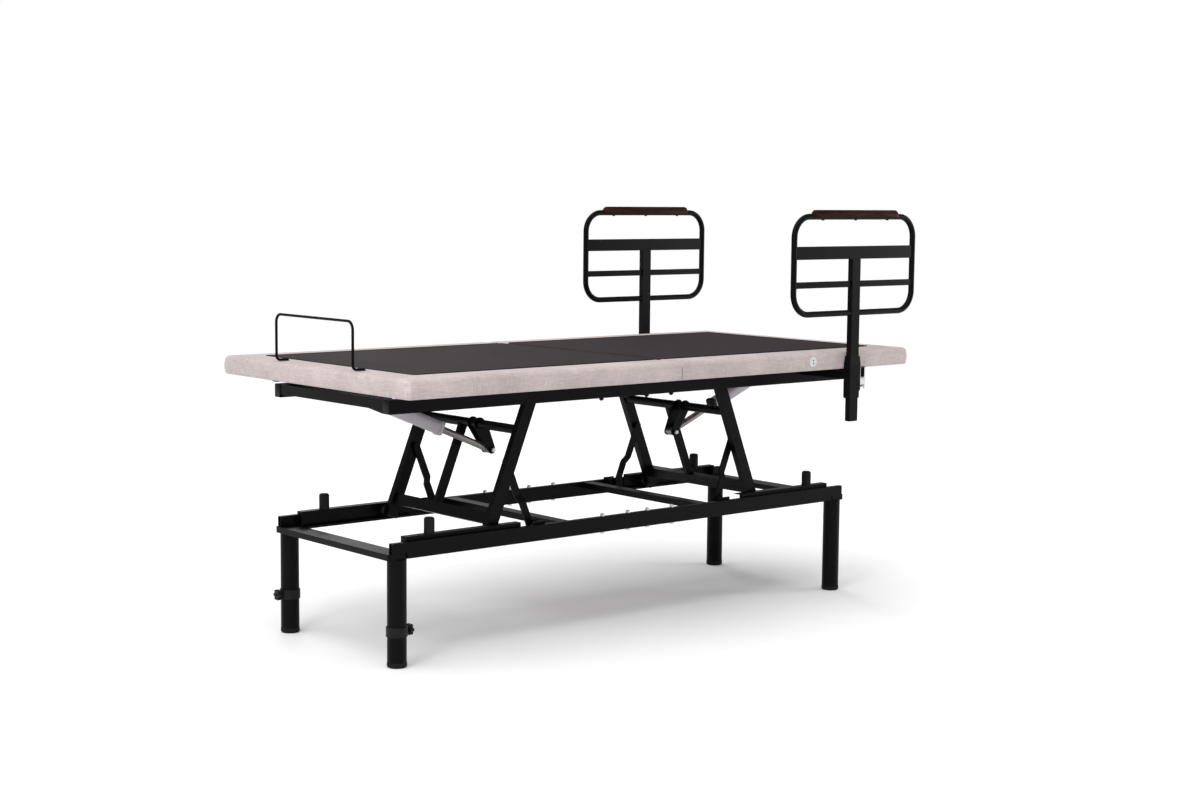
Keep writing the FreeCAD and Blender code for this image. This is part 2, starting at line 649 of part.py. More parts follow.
def rail_socket(side):
    """Sleeve for an assist rail's post on an outrigger arm, with a tapered hood."""
    y = side * ASSIST_Y
    half_w, half_d = SLEEVE_WIDTH / 2, SLEEVE_DEPTH / 2

    def ring(w, d, z):
        corners = [Vector(ASSIST_X + a * w, y + b * d, z) for a, b in ((-1, -1), (1, -1), (1, 1), (-1, 1))]
        return Part.makePolygon(corners + corners[:1])

    body = box((ASSIST_X - half_w, ASSIST_X + half_w), (y - half_d, y + half_d), (706, SLEEVE_Z[1]))
    lower = box((ASSIST_X - half_w, ASSIST_X + half_w - 5), (y - half_d, y + half_d), (SLEEVE_Z[0], 706))
    lower = lower.makeChamfer(4, [e for e in lower.Edges if _along(e, AXIS_Y) and e.BoundBox.ZMax < SLEEVE_Z[0] + 1])
    hood_rings = [ring(half_w, half_d, SLEEVE_Z[1]), ring(half_w - HOOD_TAPER, half_d - HOOD_TAPER, HOOD_TOP)]
    hood = Part.makeLoft(hood_rings, True, True)
    arm = tube_y((ASSIST_X - 20, ASSIST_X + 20), OUTRIGGER_Z, side * FRAME_OUT, side * (ASSIST_Y - half_d), 2.5)
    bore_w, bore_d = POST_WIDTH / 2 + POST_PLAY, POST_DEPTH / 2 + POST_PLAY
    bore = box((ASSIST_X - bore_w, ASSIST_X + bore_w), (y - bore_d, y + bore_d), (600, 900))
    plunger_way = rod(Vector(ASSIST_X, y, PLUNGER_Z), Vector(ASSIST_X + 40, y, PLUNGER_Z), 4.1)
    return fused([body, lower, hood, arm]).cut(bore).cut(plunger_way)


def rail_latch(side):
    """Upright pull plate on a plunger that presses on the post."""
    y = side * ASSIST_Y
    face = ASSIST_X + SLEEVE_WIDTH / 2
    grip = face + LATCH_REACH
    plate = box((grip - 5, grip), (y - 8, y + 8), LATCH_Z)
    plate = plate.makeFillet(5, [e for e in plate.Edges if _along(e, Vector(1, 0, 0))])
    plunger = rod(Vector(ASSIST_X + POST_WIDTH / 2 + POST_PLAY + 0.4, y, PLUNGER_Z), Vector(grip - 2, y, PLUNGER_Z), 4)
    collar = rod(Vector(face + 1, y, PLUNGER_Z), Vector(grip - 4, y, PLUNGER_Z), 6)
    return fused([plate, plunger, collar])


# Deck

def deck_outline(x, y_half, z0, z1, outer_radius, end):
    """Half of the deck in plan, rounded at its two outer corners."""
    block = box(x, (-y_half, y_half), (z0, z1))
    outer = x[0] if end < 0 else x[1]
    return rounded_z(block, outer_radius, lambda e: abs(e.Vertexes[0].X - outer) < 1e-6)


def deck_x(end, inset=0.0):
    """X range of a deck half, from the seam outwards."""
    seam = MID_X + end * SEAM_GAP / 2
    outer = end * (DECK_LENGTH / 2 - inset)
    return (seam, outer) if end > 0 else (outer, seam)


def valley(end):
    """Wedge above the hinge axis that lets the halves fold towards each other."""
    depth = DECK_TOP - HINGE_Z + 12
    x0 = MID_X - end * VALLEY_OVERLAP
    edge = MID_X + end * SEAM_GAP / 2
    return profile_y([(x0, HINGE_Z), (edge, HINGE_Z), (edge + end * depth, HINGE_Z + depth), (x0, HINGE_Z + depth)],
                     -600, 600)


def deck_half(end):
    """Padded tray: a board on top with soft rails along its outer edges."""
    x = deck_x(end)
    top = DECK_TOP - COVER_THICK
    tray = deck_outline(x, DECK_WIDTH / 2, DECK_BOTTOM, top, DECK_CORNER, end)
    outer = x[0] if end < 0 else x[1]
    seam = x[1] if end < 0 else x[0]
    rim = [e for e in tray.Edges
           if e.BoundBox.ZMin > top - 1e-3 and abs(e.BoundBox.Center.x - seam) > 1]
    tray = tray.makeFillet(DECK_EDGE, rim)
    hollow = box((seam - end * 5, outer - end * BORDER), (-DECK_WIDTH / 2 + BORDER, DECK_WIDTH / 2 - BORDER),
                 (DECK_BOTTOM - 1, BOARD_BOTTOM))
    relief = cross_rod(MID_X, HINGE_Z, -600, 600, KNUCKLE_RADIUS + 1)
    tray = tray.cut(hollow).cut(valley(end)).cut(relief).cut(deck_cover(end))
    post_ways = [box((MID_X - 13, MID_X + 13), (side * 257, side * 269), (BOARD_BOTTOM - 1, HINGE_Z))
                 for side in SIDE.values()]
    tray = tray.cut(Part.makeCompound(post_ways))
    if end < 0:
        holes = [rod(Vector(RETAINER_FOOT_X, y, 790), Vector(RETAINER_FOOT_X, y, 840), WIRE + 1.8)
                 for y in (-RETAINER_HALF, RETAINER_HALF)]
        tray = tray.cut(Part.makeCompound(holes))
    else:
        tray = tray.cut(rod(Vector(PORT_X, -DECK_WIDTH / 2 - 1, PORT_Z), Vector(PORT_X, -DECK_WIDTH / 2 + 16, PORT_Z),
                            PORT_RADIUS - 2))
    return tray


def deck_cover(end):
    """Dark non-slip cover on top, turned down into the valley at the fold."""
    low, high = HINGE_Z + 4, DECK_TOP
    edge = MID_X + end * SEAM_GAP / 2
    run = COVER_THICK * math.sqrt(2)
    turn = COVER_THICK * math.tan(math.pi / 8)
    outer = end * (DECK_LENGTH / 2 - COVER_INSET_END)
    outline = [(edge + end * (low - HINGE_Z), low), (edge + end * (high - HINGE_Z), high), (outer, high),
               (outer, high - COVER_THICK), (edge + end * (high - HINGE_Z + turn), high - COVER_THICK),
               (edge + end * (low - HINGE_Z + run), low)]
    reach = DECK_WIDTH / 2 - COVER_INSET_SIDE
    return profile_y(outline, -reach, reach)


def deck_subframe(end):
    """Tubes under the board, hinge knuckles at the seam and a lift lever."""
    inner, outer = MID_X + end * 30, end * (DECK_LENGTH / 2 - BORDER - 12)
    pieces = []
    for side in SIDE.values():
        pieces.append(tube_x(inner, outer, (side * 274, side * 298), SUBFRAME_Z))
    for at in (MID_X + end * 48, end * 560.0, outer - end * 14):
        pieces.append(tube_y((at - 12, at + 12), (BOARD_BOTTOM - 24, BOARD_BOTTOM), -274, 274))
    solid = fused(pieces)
    hinge_y = (206, 228) if end < 0 else (232, 254)
    leaves = []
    for side in SIDE.values():
        y0, y1 = side * hinge_y[0], side * hinge_y[1]
        leaf = profile_y([(MID_X, HINGE_Z - 4), (MID_X + end * 6, HINGE_Z - KNUCKLE_RADIUS),
                          (MID_X + end * 58, BOARD_BOTTOM), (MID_X + end * 58, BOARD_BOTTOM - 3),
                          (MID_X + end * 4, BOARD_BOTTOM - 3), (MID_X, BOARD_BOTTOM)], y0, y1)
        leaves.append(fused([leaf, cross_rod(MID_X, HINGE_Z, y0, y1, KNUCKLE_RADIUS)]))
    pin = lever_pin(end)
    fork = []
    for y in (pin.y - 15, pin.y + 11):
        fork.append(strap([(MID_X + end * 50, BOARD_BOTTOM - 22), (pin.x, pin.z)], [14, 12], y, y + 4))
    fork.append(cross_rod(pin.x, pin.z, pin.y - 16, pin.y + 16, 5))
    solid = fused([solid] + leaves + fork)
    return solid.cut(cross_rod(MID_X, HINGE_Z, -300, 300, HINGE_PIN_RADIUS + RUNNING))


# Back and leg actuators under the deck

def lever_pin(end):
    """Pin of the lever under the deck half: head half at Y +60, foot half at Y -60."""
    return Vector(MID_X + end * 30, end * 60, HINGE_Z - 105)


def deck_rear_pin(end):
    """Rear pin of the actuator that raises this half, across the middle from it."""
    return Vector(MID_X - end * 300, end * 60, 736)


def deck_actuator_lugs():
    pieces = []
    for end in END.values():
        rear = deck_rear_pin(end)
        carrier = MID_X - end * (CROSS_RAILS[1] - 15)
        plates = []
        for y in (rear.y - 14, rear.y + 10):
            plates.append(cross_rod(rear.x, rear.z, y, y + 4, 11))
            plates.append(box((rear.x, carrier), (y, y + 4), (728, 747)))
        plates.append(cross_rod(rear.x, rear.z, rear.y - 16, rear.y + 16, 6))
        pieces.append(fused(plates))
    return pieces


# Fittings on the deck

def charging_port():
    """Round bezel on the near side with a recessed face and two sockets."""
    y = -DECK_WIDTH / 2
    bezel = rod(Vector(PORT_X, y - 2, PORT_Z), Vector(PORT_X, y, PORT_Z), PORT_RADIUS)
    body = rod(Vector(PORT_X, y, PORT_Z), Vector(PORT_X, y + 14, PORT_Z), PORT_RADIUS - 2.3)
    face = rod(Vector(PORT_X, y - 3, PORT_Z), Vector(PORT_X, y - 0.8, PORT_Z), PORT_RADIUS - 3)
    sockets = [box((PORT_X - 4.5, PORT_X + 4.5), (y - 3, y + 9), (PORT_Z + k - 2.4, PORT_Z + k + 2.4)) for k in (-6, 6)]
    return fused([bezel, body]).cut(face).cut(Part.makeCompound(sockets))


def bent_path(points, radii):
    """Wire of straight runs joined by circular bends at the inner points."""
    edges = []
    start = points[0]
    for corner, after, bend in zip(points[1:], points[2:], radii):
        back = (start - corner).normalize()
        onward = (after - corner).normalize()
        half_angle = back.getAngle(onward) / 2
        trim = bend / math.tan(half_angle)
        first, last = corner + back * trim, corner + onward * trim
        centre = corner + (back + onward).normalize() * (bend / math.sin(half_angle))
        middle = centre + (corner - centre).normalize() * bend
        edges.append(Part.LineSegment(start, first).toShape())
        edges.append(Part.Arc(first, middle, last).toShape())
        start = last
    edges.append(Part.LineSegment(start, points[-1]).toShape())
    return Part.Wire(edges)


def bent_bar(points, radii, radius, bore=0.0):
    """Round bar or tube swept along a bent path."""
    path = bent_path(points, radii)

    def swept(r):
        ring = Part.Wire(Part.makeCircle(r, points[0], points[1] - points[0]))
        return path.makePipeShell([ring], True, False)

    return swept(radius).cut(swept(bore)) if bore else swept(radius)


def retainer_bar():
    """Wire hoop at the foot end; its legs bend inwards and plug down into the deck."""
    z_foot = DECK_TOP - COVER_THICK + WIRE + 1.5
    legs = []
    for side in (-1, 1):
        y = side * RETAINER_HALF
        legs.append([Vector(RETAINER_FOOT_X, y, 796), Vector(RETAINER_FOOT_X, y, z_foot),
                     Vector(RETAINER_X, y, z_foot), Vector(RETAINER_X, y, RETAINER_TOP)])
    points = legs[0] + legs[1][::-1]
    radii = [9, 12, 24, 24, 12, 9]
    return bent_bar(points, radii, WIRE)


# Assist rails

def assist_loop(side):
    """Bent tube whose two ends butt against the post."""
    y = side * ASSIST_Y
    half = LOOP_WIDTH / 2 - LOOP_TUBE
    z0, z1 = LOOP_LOW + LOOP_TUBE, LOOP_TOP - LOOP_TUBE
    start = POST_WIDTH / 2
    points = [Vector(ASSIST_X + start, y, z0), Vector(ASSIST_X + half, y, z0), Vector(ASSIST_X + half, y, z1),
              Vector(ASSIST_X - half, y, z1), Vector(ASSIST_X - half, y, z0), Vector(ASSIST_X - start, y, z0)]
    return bent_bar(points, [LOOP_CORNER] * 4, LOOP_TUBE, LOOP_TUBE - LOOP_WALL)


def assist_bars(side):
    """Post, wide bar and the two thin bars beside the post."""
    y = side * ASSIST_Y
    reach = LOOP_WIDTH / 2 - 2 * LOOP_TUBE
    depth = (y - BAR_DEPTH / 2, y + BAR_DEPTH / 2)
    post_outer = box((ASSIST_X - POST_WIDTH / 2, ASSIST_X + POST_WIDTH / 2), (y - POST_DEPTH / 2, y + POST_DEPTH / 2),
                     (POST_LOW, WIDE_BAR_Z[0]))
    post_inner = box((ASSIST_X - POST_WIDTH / 2 + 2, ASSIST_X + POST_WIDTH / 2 - 2),
                     (y - POST_DEPTH / 2 + 2, y + POST_DEPTH / 2 - 2), (POST_LOW - 1, WIDE_BAR_Z[0] - 3))
    wide = box((ASSIST_X - reach, ASSIST_X + reach), depth, WIDE_BAR_Z)
    bars = [post_outer.cut(post_inner), wide]
    for sign in (-1, 1):
        x = (ASSIST_X + sign * POST_WIDTH / 2, ASSIST_X + sign * reach)
        bars.append(box(x, depth, THIN_BAR_Z))
    return bars


def armrest_cap(side):
    """Wooden cap grooved over the top tube, with rounded edges and chamfered ends."""
    y = side * ASSIST_Y
    low = LOOP_TOP - LOOP_TUBE - 2
    half, bevel = CAP_LENGTH / 2, 14.0
    outline = [(ASSIST_X - half, low), (ASSIST_X + half, low), (ASSIST_X + half, low + 8),
               (ASSIST_X + half - bevel, CAP_TOP), (ASSIST_X - half + bevel, CAP_TOP), (ASSIST_X - half, low + 8)]
    cap = profile_y(outline, y - CAP_DEPTH / 2, y + CAP_DEPTH / 2)
    long_edges = [e for e in cap.Edges if _along(e, Vector(1, 0, 0)) and e.BoundBox.ZMin > CAP_TOP - 1]
    cap = cap.makeFillet(8, long_edges)
    groove = fused([rod(Vector(ASSIST_X - 260, y, LOOP_TOP - LOOP_TUBE), Vector(ASSIST_X + 260, y, LOOP_TOP - LOOP_TUBE),
                        LOOP_TUBE + 0.05),
                    box((ASSIST_X - 260, ASSIST_X + 260), (y - LOOP_TUBE, y + LOOP_TUBE), (low - 1, LOOP_TOP - LOOP_TUBE))])
    return cap.cut(groove)


def build_base():
    for end_name, end in END.items():
        for side_name, side in SIDE.items():
            save("base_rail_%s_%s" % (end_name, side_name), base_rail(end, side))
        save("roller_tracks_%s" % end_name, *[roller_track(end, s) for s in SIDE.values()])
        save("legs_%s" % end_name, *[leg(end, s) for s in SIDE.values()])
    save("base_end_bars", *[end_bar(e) for e in END.values()])
    save("base_inner_bars", *[inner_bar(e) for e in END.values()])
    corners = [(e, s) for e in END.values() for s in SIDE.values()]
    save("leg_glides", *[leg_glide(e, s) for e, s in corners])
    save("stop_posts", *[stop_post(e, s) for e, s in corners])
    save("link_brackets", *[link_bracket(e, s) for e, s in corners])
    save("base_bolts", *base_bolts())
    save("leg_collars", *[leg_collar(s) for s in SIDE.values()])
    for side_name, side in SIDE.items():
        save("collar_knob_%s" % side_name, collar_knob(side))


def build_lift():
    for name, end in END.items():
        save("%s_links" % name, *[link_bar(end, s) for s in SIDE.values()])
        save("%s_leg_arms" % name, *([outer_arm(end, s) for s in SIDE.values()] + [middle_arm(end)]))
        save("%s_cross_members" % name, *cross_members(end))
        save("%s_actuator_bracket" % name, actuator_bracket(end))
        save("%s_rollers" % name, *[roller(end, s) for s in SIDE.values()])
        pin, rear = rod_pin(end), rear_pin(end)
        save("%s_lift_rod" % name, actuator_rod(pin, rear, LIFT_ROD_RADIUS, 216, 26))
        save("%s_lift_motor" % name, actuator_housing(pin, rear, LIFT_ROD_RADIUS, 194, 36, 41, (9.5, 22.0), 1))


def build_upper_frame():
    for name, end in END.items():
        save("frame_rails_%s" % name, *[side_rail(end, s) for s in SIDE.values()])
    save("frame_cross_rails", *frame_cross_rails())
    save("frame_brackets", *frame_brackets())
    save("frame_bolts", *frame_bolts())
    save("frame_buffers", *frame_buffers())
    save("control_box", control_box())
    for name, side in SIDE.items():
        save("rail_socket_%s" % name, rail_socket(side))
        save("rail_latch_%s" % name, rail_latch(side))


def build_deck():
    for name, end in END.items():
        save("deck_%s_half" % name, deck_half(end))
        save("deck_%s_cover" % name, deck_cover(end))
        save("deck_%s_subframe" % name, deck_subframe(end))
        pin, rear = lever_pin(end), deck_rear_pin(end)
        mover = "back" if end > 0 else "leg"
        save("%s_lift_rod" % mover, actuator_rod(pin, rear, DECK_ROD_RADIUS, 222, 18))
        save("%s_lift_motor" % mover, actuator_housing(pin, rear, DECK_ROD_RADIUS, 110, 32, 34, (12.5, 12.5), -end))
    save("charging_port", charging_port())
    save("retainer_bar", retainer_bar())


def build_assist_rails():
    for name, side in SIDE.items():
        save("assist_loop_%s" % name, assist_loop(side))
        save("assist_bars_%s" % name, *assist_bars(side))
        save("armrest_cap_%s" % name, armrest_cap(side))


os.makedirs("parts", exist_ok=True)
build_base()
build_lift()
build_upper_frame()
build_deck()
build_assist_rails()
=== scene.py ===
"""Looks of the height-adjustable bed: upholstery, coated steel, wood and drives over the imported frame."""
import json
import logging
import math
from dataclasses import dataclass, field
from enum import Enum
from typing import Any, Callable, Sequence

import bmesh
import bpy
import numpy as np
from mathutils import Matrix, Vector


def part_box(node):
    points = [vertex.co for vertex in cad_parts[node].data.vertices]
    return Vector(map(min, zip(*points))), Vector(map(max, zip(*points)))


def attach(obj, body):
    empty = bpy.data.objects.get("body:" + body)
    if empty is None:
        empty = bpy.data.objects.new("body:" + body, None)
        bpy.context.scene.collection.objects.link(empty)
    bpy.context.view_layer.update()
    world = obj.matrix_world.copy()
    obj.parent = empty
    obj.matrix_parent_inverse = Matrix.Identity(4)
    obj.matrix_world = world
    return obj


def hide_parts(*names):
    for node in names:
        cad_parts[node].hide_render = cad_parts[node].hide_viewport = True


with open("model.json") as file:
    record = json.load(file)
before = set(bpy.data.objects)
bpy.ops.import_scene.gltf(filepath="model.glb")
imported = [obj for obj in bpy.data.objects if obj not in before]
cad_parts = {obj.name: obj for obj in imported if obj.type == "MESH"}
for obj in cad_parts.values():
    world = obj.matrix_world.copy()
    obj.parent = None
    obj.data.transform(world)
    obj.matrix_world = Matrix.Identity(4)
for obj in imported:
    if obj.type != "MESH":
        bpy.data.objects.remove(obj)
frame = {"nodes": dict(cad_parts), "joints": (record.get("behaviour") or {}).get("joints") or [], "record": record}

LOG = logging.getLogger("bed")
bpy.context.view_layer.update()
Array = np.ndarray
AXIS_Y = np.array([0.0, 1.0, 0.0])


class End(Enum):
    """The two ends of the bed, as the sign of X."""

    FOOT = -1
    HEAD = 1

    @property
    def word(self) -> str:
        """The end's name in node and body names."""
        return self.name.lower()


class Side(Enum):
    """The two long sides of the bed, as the sign of Y."""

    NEAR = -1
    FAR = 1

    @property
    def word(self) -> str:
        """The side's name in node and body names."""
        return self.name.lower()


class Graph:
    """A node tree with short ways to add and join nodes."""

    def __init__(self, tree: bpy.types.NodeTree) -> None:
        """Take a tree to add to.

        Args:
            tree: a material's or a group's node tree.
        """
        self.tree = tree

    def add(self, kind: str, inputs: dict[Any, Any] | None = None, **settings: Any) -> bpy.types.Node:
        """Add a node, set its properties and fill or join its inputs.

        Args:
            kind: the node type without the ShaderNode prefix.
            inputs: input name or index to a value or an output socket.
            **settings: properties of the node.

        Returns:
            The new node.
        """
        node = self.tree.nodes.new("ShaderNode" + kind)
        for key, value in settings.items():
            setattr(node, key, value)
        self.fill(node, inputs or {})
        return node

    def fill(self, node: bpy.types.Node, inputs: dict[Any, Any]) -> None:
        """Fill or join a node's inputs.

        Args:
            node: the node.
            inputs: input name or index to a value or an output socket.
        """
        for key, value in inputs.items():
            if isinstance(value, bpy.types.NodeSocket):
                self.tree.links.new(value, node.inputs[key])
            else:
                node.inputs[key].default_value = value

    def math(self, operation: str, a: Any, b: Any = 0.0) -> bpy.types.NodeSocket:
        """Join a Math node.

        Args:
            operation: Blender's name of the operation.
            a: first value or socket.
            b: second value or socket.

        Returns:
            The node's output socket.
        """
        return self.add("Math", {0: a, 1: b}, operation=operation).outputs[0]

    def mix(self, factor: Any, a: Any, b: Any) -> bpy.types.NodeSocket:
        """Mix two colours.

        Args:
            factor: value or socket, 0 for a and 1 for b.
            a: colour or socket.
            b: colour or socket.

        Returns:
            The colour output.
        """
        return self.add("Mix", {0: factor, 6: a, 7: b}, data_type="RGBA").outputs[2]

    def shade(self, color: Any, amount: Any) -> bpy.types.NodeSocket:
        """Multiply a colour by a grey.

        Args:
            color: colour or socket.
            amount: grey or socket.

        Returns:
            The colour output.
        """
        node = self.add("Mix", {0: 1.0, 6: color, 7: amount}, data_type="RGBA", blend_type="MULTIPLY")
        return node.outputs[2]

    def stretch(self, vector: bpy.types.NodeSocket, scale: Sequence[float]) -> bpy.types.NodeSocket:
        """Multiply coordinates by a scale for each axis.

        Args:
            vector: coordinates in metres.
            scale: factor along each axis.

        Returns:
            The vector output.
        """
        return self.add("VectorMath", {0: vector, 1: scale}, operation="MULTIPLY").outputs[0]

    def spread(self, value: Any, low: float, high: float) -> bpy.types.NodeSocket:
        """Map 0 to 1 onto low to high.

        Args:
            value: socket to map.
            low: result at 0.
            high: result at 1.

        Returns:
            The mapped value's socket.
        """
        return self.add("MapRange", {0: value, 3: low, 4: high}).outputs[0]

    def noise(self, vector: Any, scale: Any, detail: float = 3.0,
              roughness: float = 0.5) -> bpy.types.NodeSocket:
        """Noise texture.

        Args:
            vector: coordinates in metres.
            scale: features per metre.
            detail: octaves.
            roughness: weight of the fine octaves.

        Returns:
            The grey output.
        """
        return self.add("TexNoise", {"Vector": vector, "Scale": scale, "Detail": detail,
                                     "Roughness": roughness}).outputs["Fac"]


class EffectLibrary:
    """Shader node groups that several finishes share, each built once."""

    def __init__(self) -> None:
        """Start with no groups."""
        self._groups: dict[str, bpy.types.NodeTree] = {}

    def group(self, name: str, inputs: dict[str, tuple[str, Any]], outputs: dict[str, str],
              build: Callable[[Graph, bpy.types.Node, bpy.types.Node], None]) -> bpy.types.NodeTree:
        """Fetch a group, building it the first time.

        Args:
            name: the group's name.
            inputs: input name to socket type and default.
            outputs: output name to socket type.
            build: fills the tree from its input and output nodes.

        Returns:
            The node group.
        """
        if name in self._groups:
            return self._groups[name]
        tree = bpy.data.node_groups.new(name, "ShaderNodeTree")
        for label, (kind, default) in inputs.items():
            socket = tree.interface.new_socket(label, in_out="INPUT", socket_type=kind)
            if default is not None:
                socket.default_value = default
        for label, kind in outputs.items():
            tree.interface.new_socket(label, in_out="OUTPUT", socket_type=kind)
        start, end = tree.nodes.new("NodeGroupInput"), tree.nodes.new("NodeGroupOutput")
        build(Graph(tree), start, end)
        self._groups[name] = tree
        return tree

    def coat(self) -> bpy.types.NodeTree:
        """Fine orange peel of sprayed or moulded surfaces, with handling marks.

        Returns:
            Group with inputs Vector and Scale, outputs Height and Marks.
        """
        def build(graph: Graph, start: bpy.types.Node, end: bpy.types.Node) -> None:
            """Mix a fine noise for the skin and a broad one for marks."""
            vector, scale = start.outputs["Vector"], start.outputs["Scale"]
            fine = graph.noise(vector, scale, 2.0, 0.55)
            broad = graph.noise(vector, 14.0, 4.0, 0.6)
            streak = graph.noise(vector, 90.0, 2.0, 0.5)
            marks = graph.math("MULTIPLY", broad, streak)
            graph.fill(end, {"Height": fine, "Marks": graph.spread(marks, 0.0, 1.6)})

        inputs = {"Vector": ("NodeSocketVector", None), "Scale": ("NodeSocketFloat", 900.0)}
        outputs = {"Height": "NodeSocketFloat", "Marks": "NodeSocketFloat"}
        return self.group("coat_texture", inputs, outputs, build)

    def weave(self) -> bpy.types.NodeTree:
        """Plain weave: two sets of threads that pass over and under each other.

        Returns:
            Group with inputs Vector, Threads and Slub, outputs Height and Tone.
        """
        def build(graph: Graph, start: bpy.types.Node, end: bpy.types.Node) -> None:
            """Height is |sin| of whichever thread lies on top, by the sign of the sines' product."""
            vector = start.outputs["Vector"]
            wander = graph.add("TexNoise", {"Vector": vector, "Scale": 55.0, "Detail": 2.0})
            offset = graph.add("VectorMath", {0: wander.outputs["Color"], 1: (0.5, 0.5, 0.5)},
                               operation="SUBTRACT")
            small = graph.add("VectorMath", {0: offset.outputs[0], "Scale": start.outputs["Slub"]},
                              operation="SCALE")
            moved = graph.add("VectorMath", {0: vector, 1: small.outputs[0]}, operation="ADD")
            split = graph.add("SeparateXYZ", {0: moved.outputs[0]})
            turns = graph.math("MULTIPLY", start.outputs["Threads"], math.pi)
            sines = [graph.math("SINE", graph.math("MULTIPLY", split.outputs[k], turns)) for k in (0, 1)]
            over = graph.math("GREATER_THAN", graph.math("MULTIPLY", sines[0], sines[1]), 0.0)
            tops = [graph.math("POWER", graph.math("ABSOLUTE", s), 0.6) for s in sines]
            height = graph.add("Mix", {0: over, 2: tops[0], 3: tops[1]}, data_type="FLOAT").outputs[0]
            slubs = [graph.noise(graph.stretch(vector, scale), start.outputs["Threads"], 2.0, 0.6)
                     for scale in ((1.0, 0.05, 1.0), (0.05, 1.0, 1.0))]
            tone = graph.math("MULTIPLY", graph.math("ADD", slubs[0], slubs[1]), 0.5)
            graph.fill(end, {"Height": height, "Tone": tone})

        inputs = {"Vector": ("NodeSocketVector", None), "Threads": ("NodeSocketFloat", 450.0),
                  "Slub": ("NodeSocketFloat", 0.001)}
        outputs = {"Height": "NodeSocketFloat", "Tone": "NodeSocketFloat"}
        return self.group("plain_weave", inputs, outputs, build)

    def grain(self) -> bpy.types.NodeTree:
        """Long wood grain along X with darker pores.

        Returns:
            Group with input Vector, outputs Bands and Pores.
        """
        def build(graph: Graph, start: bpy.types.Node, end: bpy.types.Node) -> None:
            """Noise stretched along X gives bands, a finer one gives pores."""
            wide = graph.stretch(start.outputs["Vector"], (6.0, 60.0, 60.0))
            fine = graph.stretch(start.outputs["Vector"], (40.0, 900.0, 900.0))
            bands = graph.add("TexNoise", {"Vector": wide, "Scale": 1.0, "Detail": 5.0, "Distortion": 1.2})
            pores = graph.noise(fine, 1.0, 2.0, 0.6)
            graph.fill(end, {"Bands": bands.outputs["Fac"],
                             "Pores": graph.add("MapRange", {0: pores, 1: 0.55, 2: 0.7}).outputs[0]})

        return self.group("wood_grain", {"Vector": ("NodeSocketVector", None)},
                          {"Bands": "NodeSocketFloat", "Pores": "NodeSocketFloat"}, build)


EFFECTS = EffectLibrary()


def new_material(name: str) -> tuple[bpy.types.Material, Graph, bpy.types.Node, bpy.types.Node]:
    """Make a material that holds a Principled shader and texture coordinates.

    Args:
        name: the finish's name.

    Returns:
        The material, its graph, its shader and its coordinate node.
    """
    material = bpy.data.materials.new(name)
    material.use_nodes = True
    graph = Graph(material.node_tree)
    shader = material.node_tree.nodes["Principled BSDF"]
    return material, graph, shader, graph.add("TexCoord")


def bump(graph: Graph, shader: bpy.types.Node, height: bpy.types.NodeSocket, distance: float,
         strength: float = 1.0) -> None:
    """Join a height to the shader's normal.

    Args:
        graph: the material's graph.
        shader: the shader that gets the normal.
        height: height from 0 to 1.
        distance: what 1 stands for, in metres.
        strength: share of the effect.
    """
    node = graph.add("Bump", {"Height": height, "Distance": distance, "Strength": strength})
    graph.tree.links.new(node.outputs["Normal"], shader.inputs["Normal"])


def opaque(color: Sequence[float], factor: float = 1.0) -> tuple[float, ...]:
    """Colour times a factor, with full alpha.

    Args:
        color: red, green and blue.
        factor: what each is multiplied by.

    Returns:
        Red, green, blue and alpha.
    """
    return tuple(min(1.0, c * factor) for c in color) + (1.0,)


@dataclass(frozen=True)
class Finish:
    """A procedural material; each kind of finish joins its own nodes."""

    name: str

    def dress(self, graph: Graph, shader: bpy.types.Node, place: bpy.types.Node) -> None:
        """Join the finish's nodes to the shader.

        Args:
            graph: the material's graph.
            shader: its Principled shader.
            place: its texture coordinates.
        """
        raise NotImplementedError

    def build(self) -> bpy.types.Material:
        """Make the material.

        Returns:
            The material.
        """
        material, graph, shader, place = new_material(self.name)
        self.dress(graph, shader, place)
        return material


@dataclass(frozen=True)
class CoatedFinish(Finish):
    """Sprayed metal or moulded plastic: one colour with fine texture and handling marks."""

    color: tuple[float, float, float]
    roughness: tuple[float, float] = (0.38, 0.52)
    metallic: float = 0.0
    peel: float = 900.0
    depth: float = 0.00004
    lighter: float = 1.25
    specular: float = 0.14

    def dress(self, graph: Graph, shader: bpy.types.Node, place: bpy.types.Node) -> None:
        """Marks lighten the colour and change the roughness, and the peel gives the relief."""
        texture = graph.add("Group", {"Vector": place.outputs["Object"], "Scale": self.peel},
                            node_tree=EFFECTS.coat())
        marks = texture.outputs["Marks"]
        color = graph.mix(marks, opaque(self.color), opaque(self.color, self.lighter))
        graph.fill(shader, {"Base Color": color,
                            "Roughness": graph.spread(marks, *self.roughness),
                            "Metallic": self.metallic,
                            "Specular IOR Level": self.specular})
        bump(graph, shader, texture.outputs["Height"], self.depth)


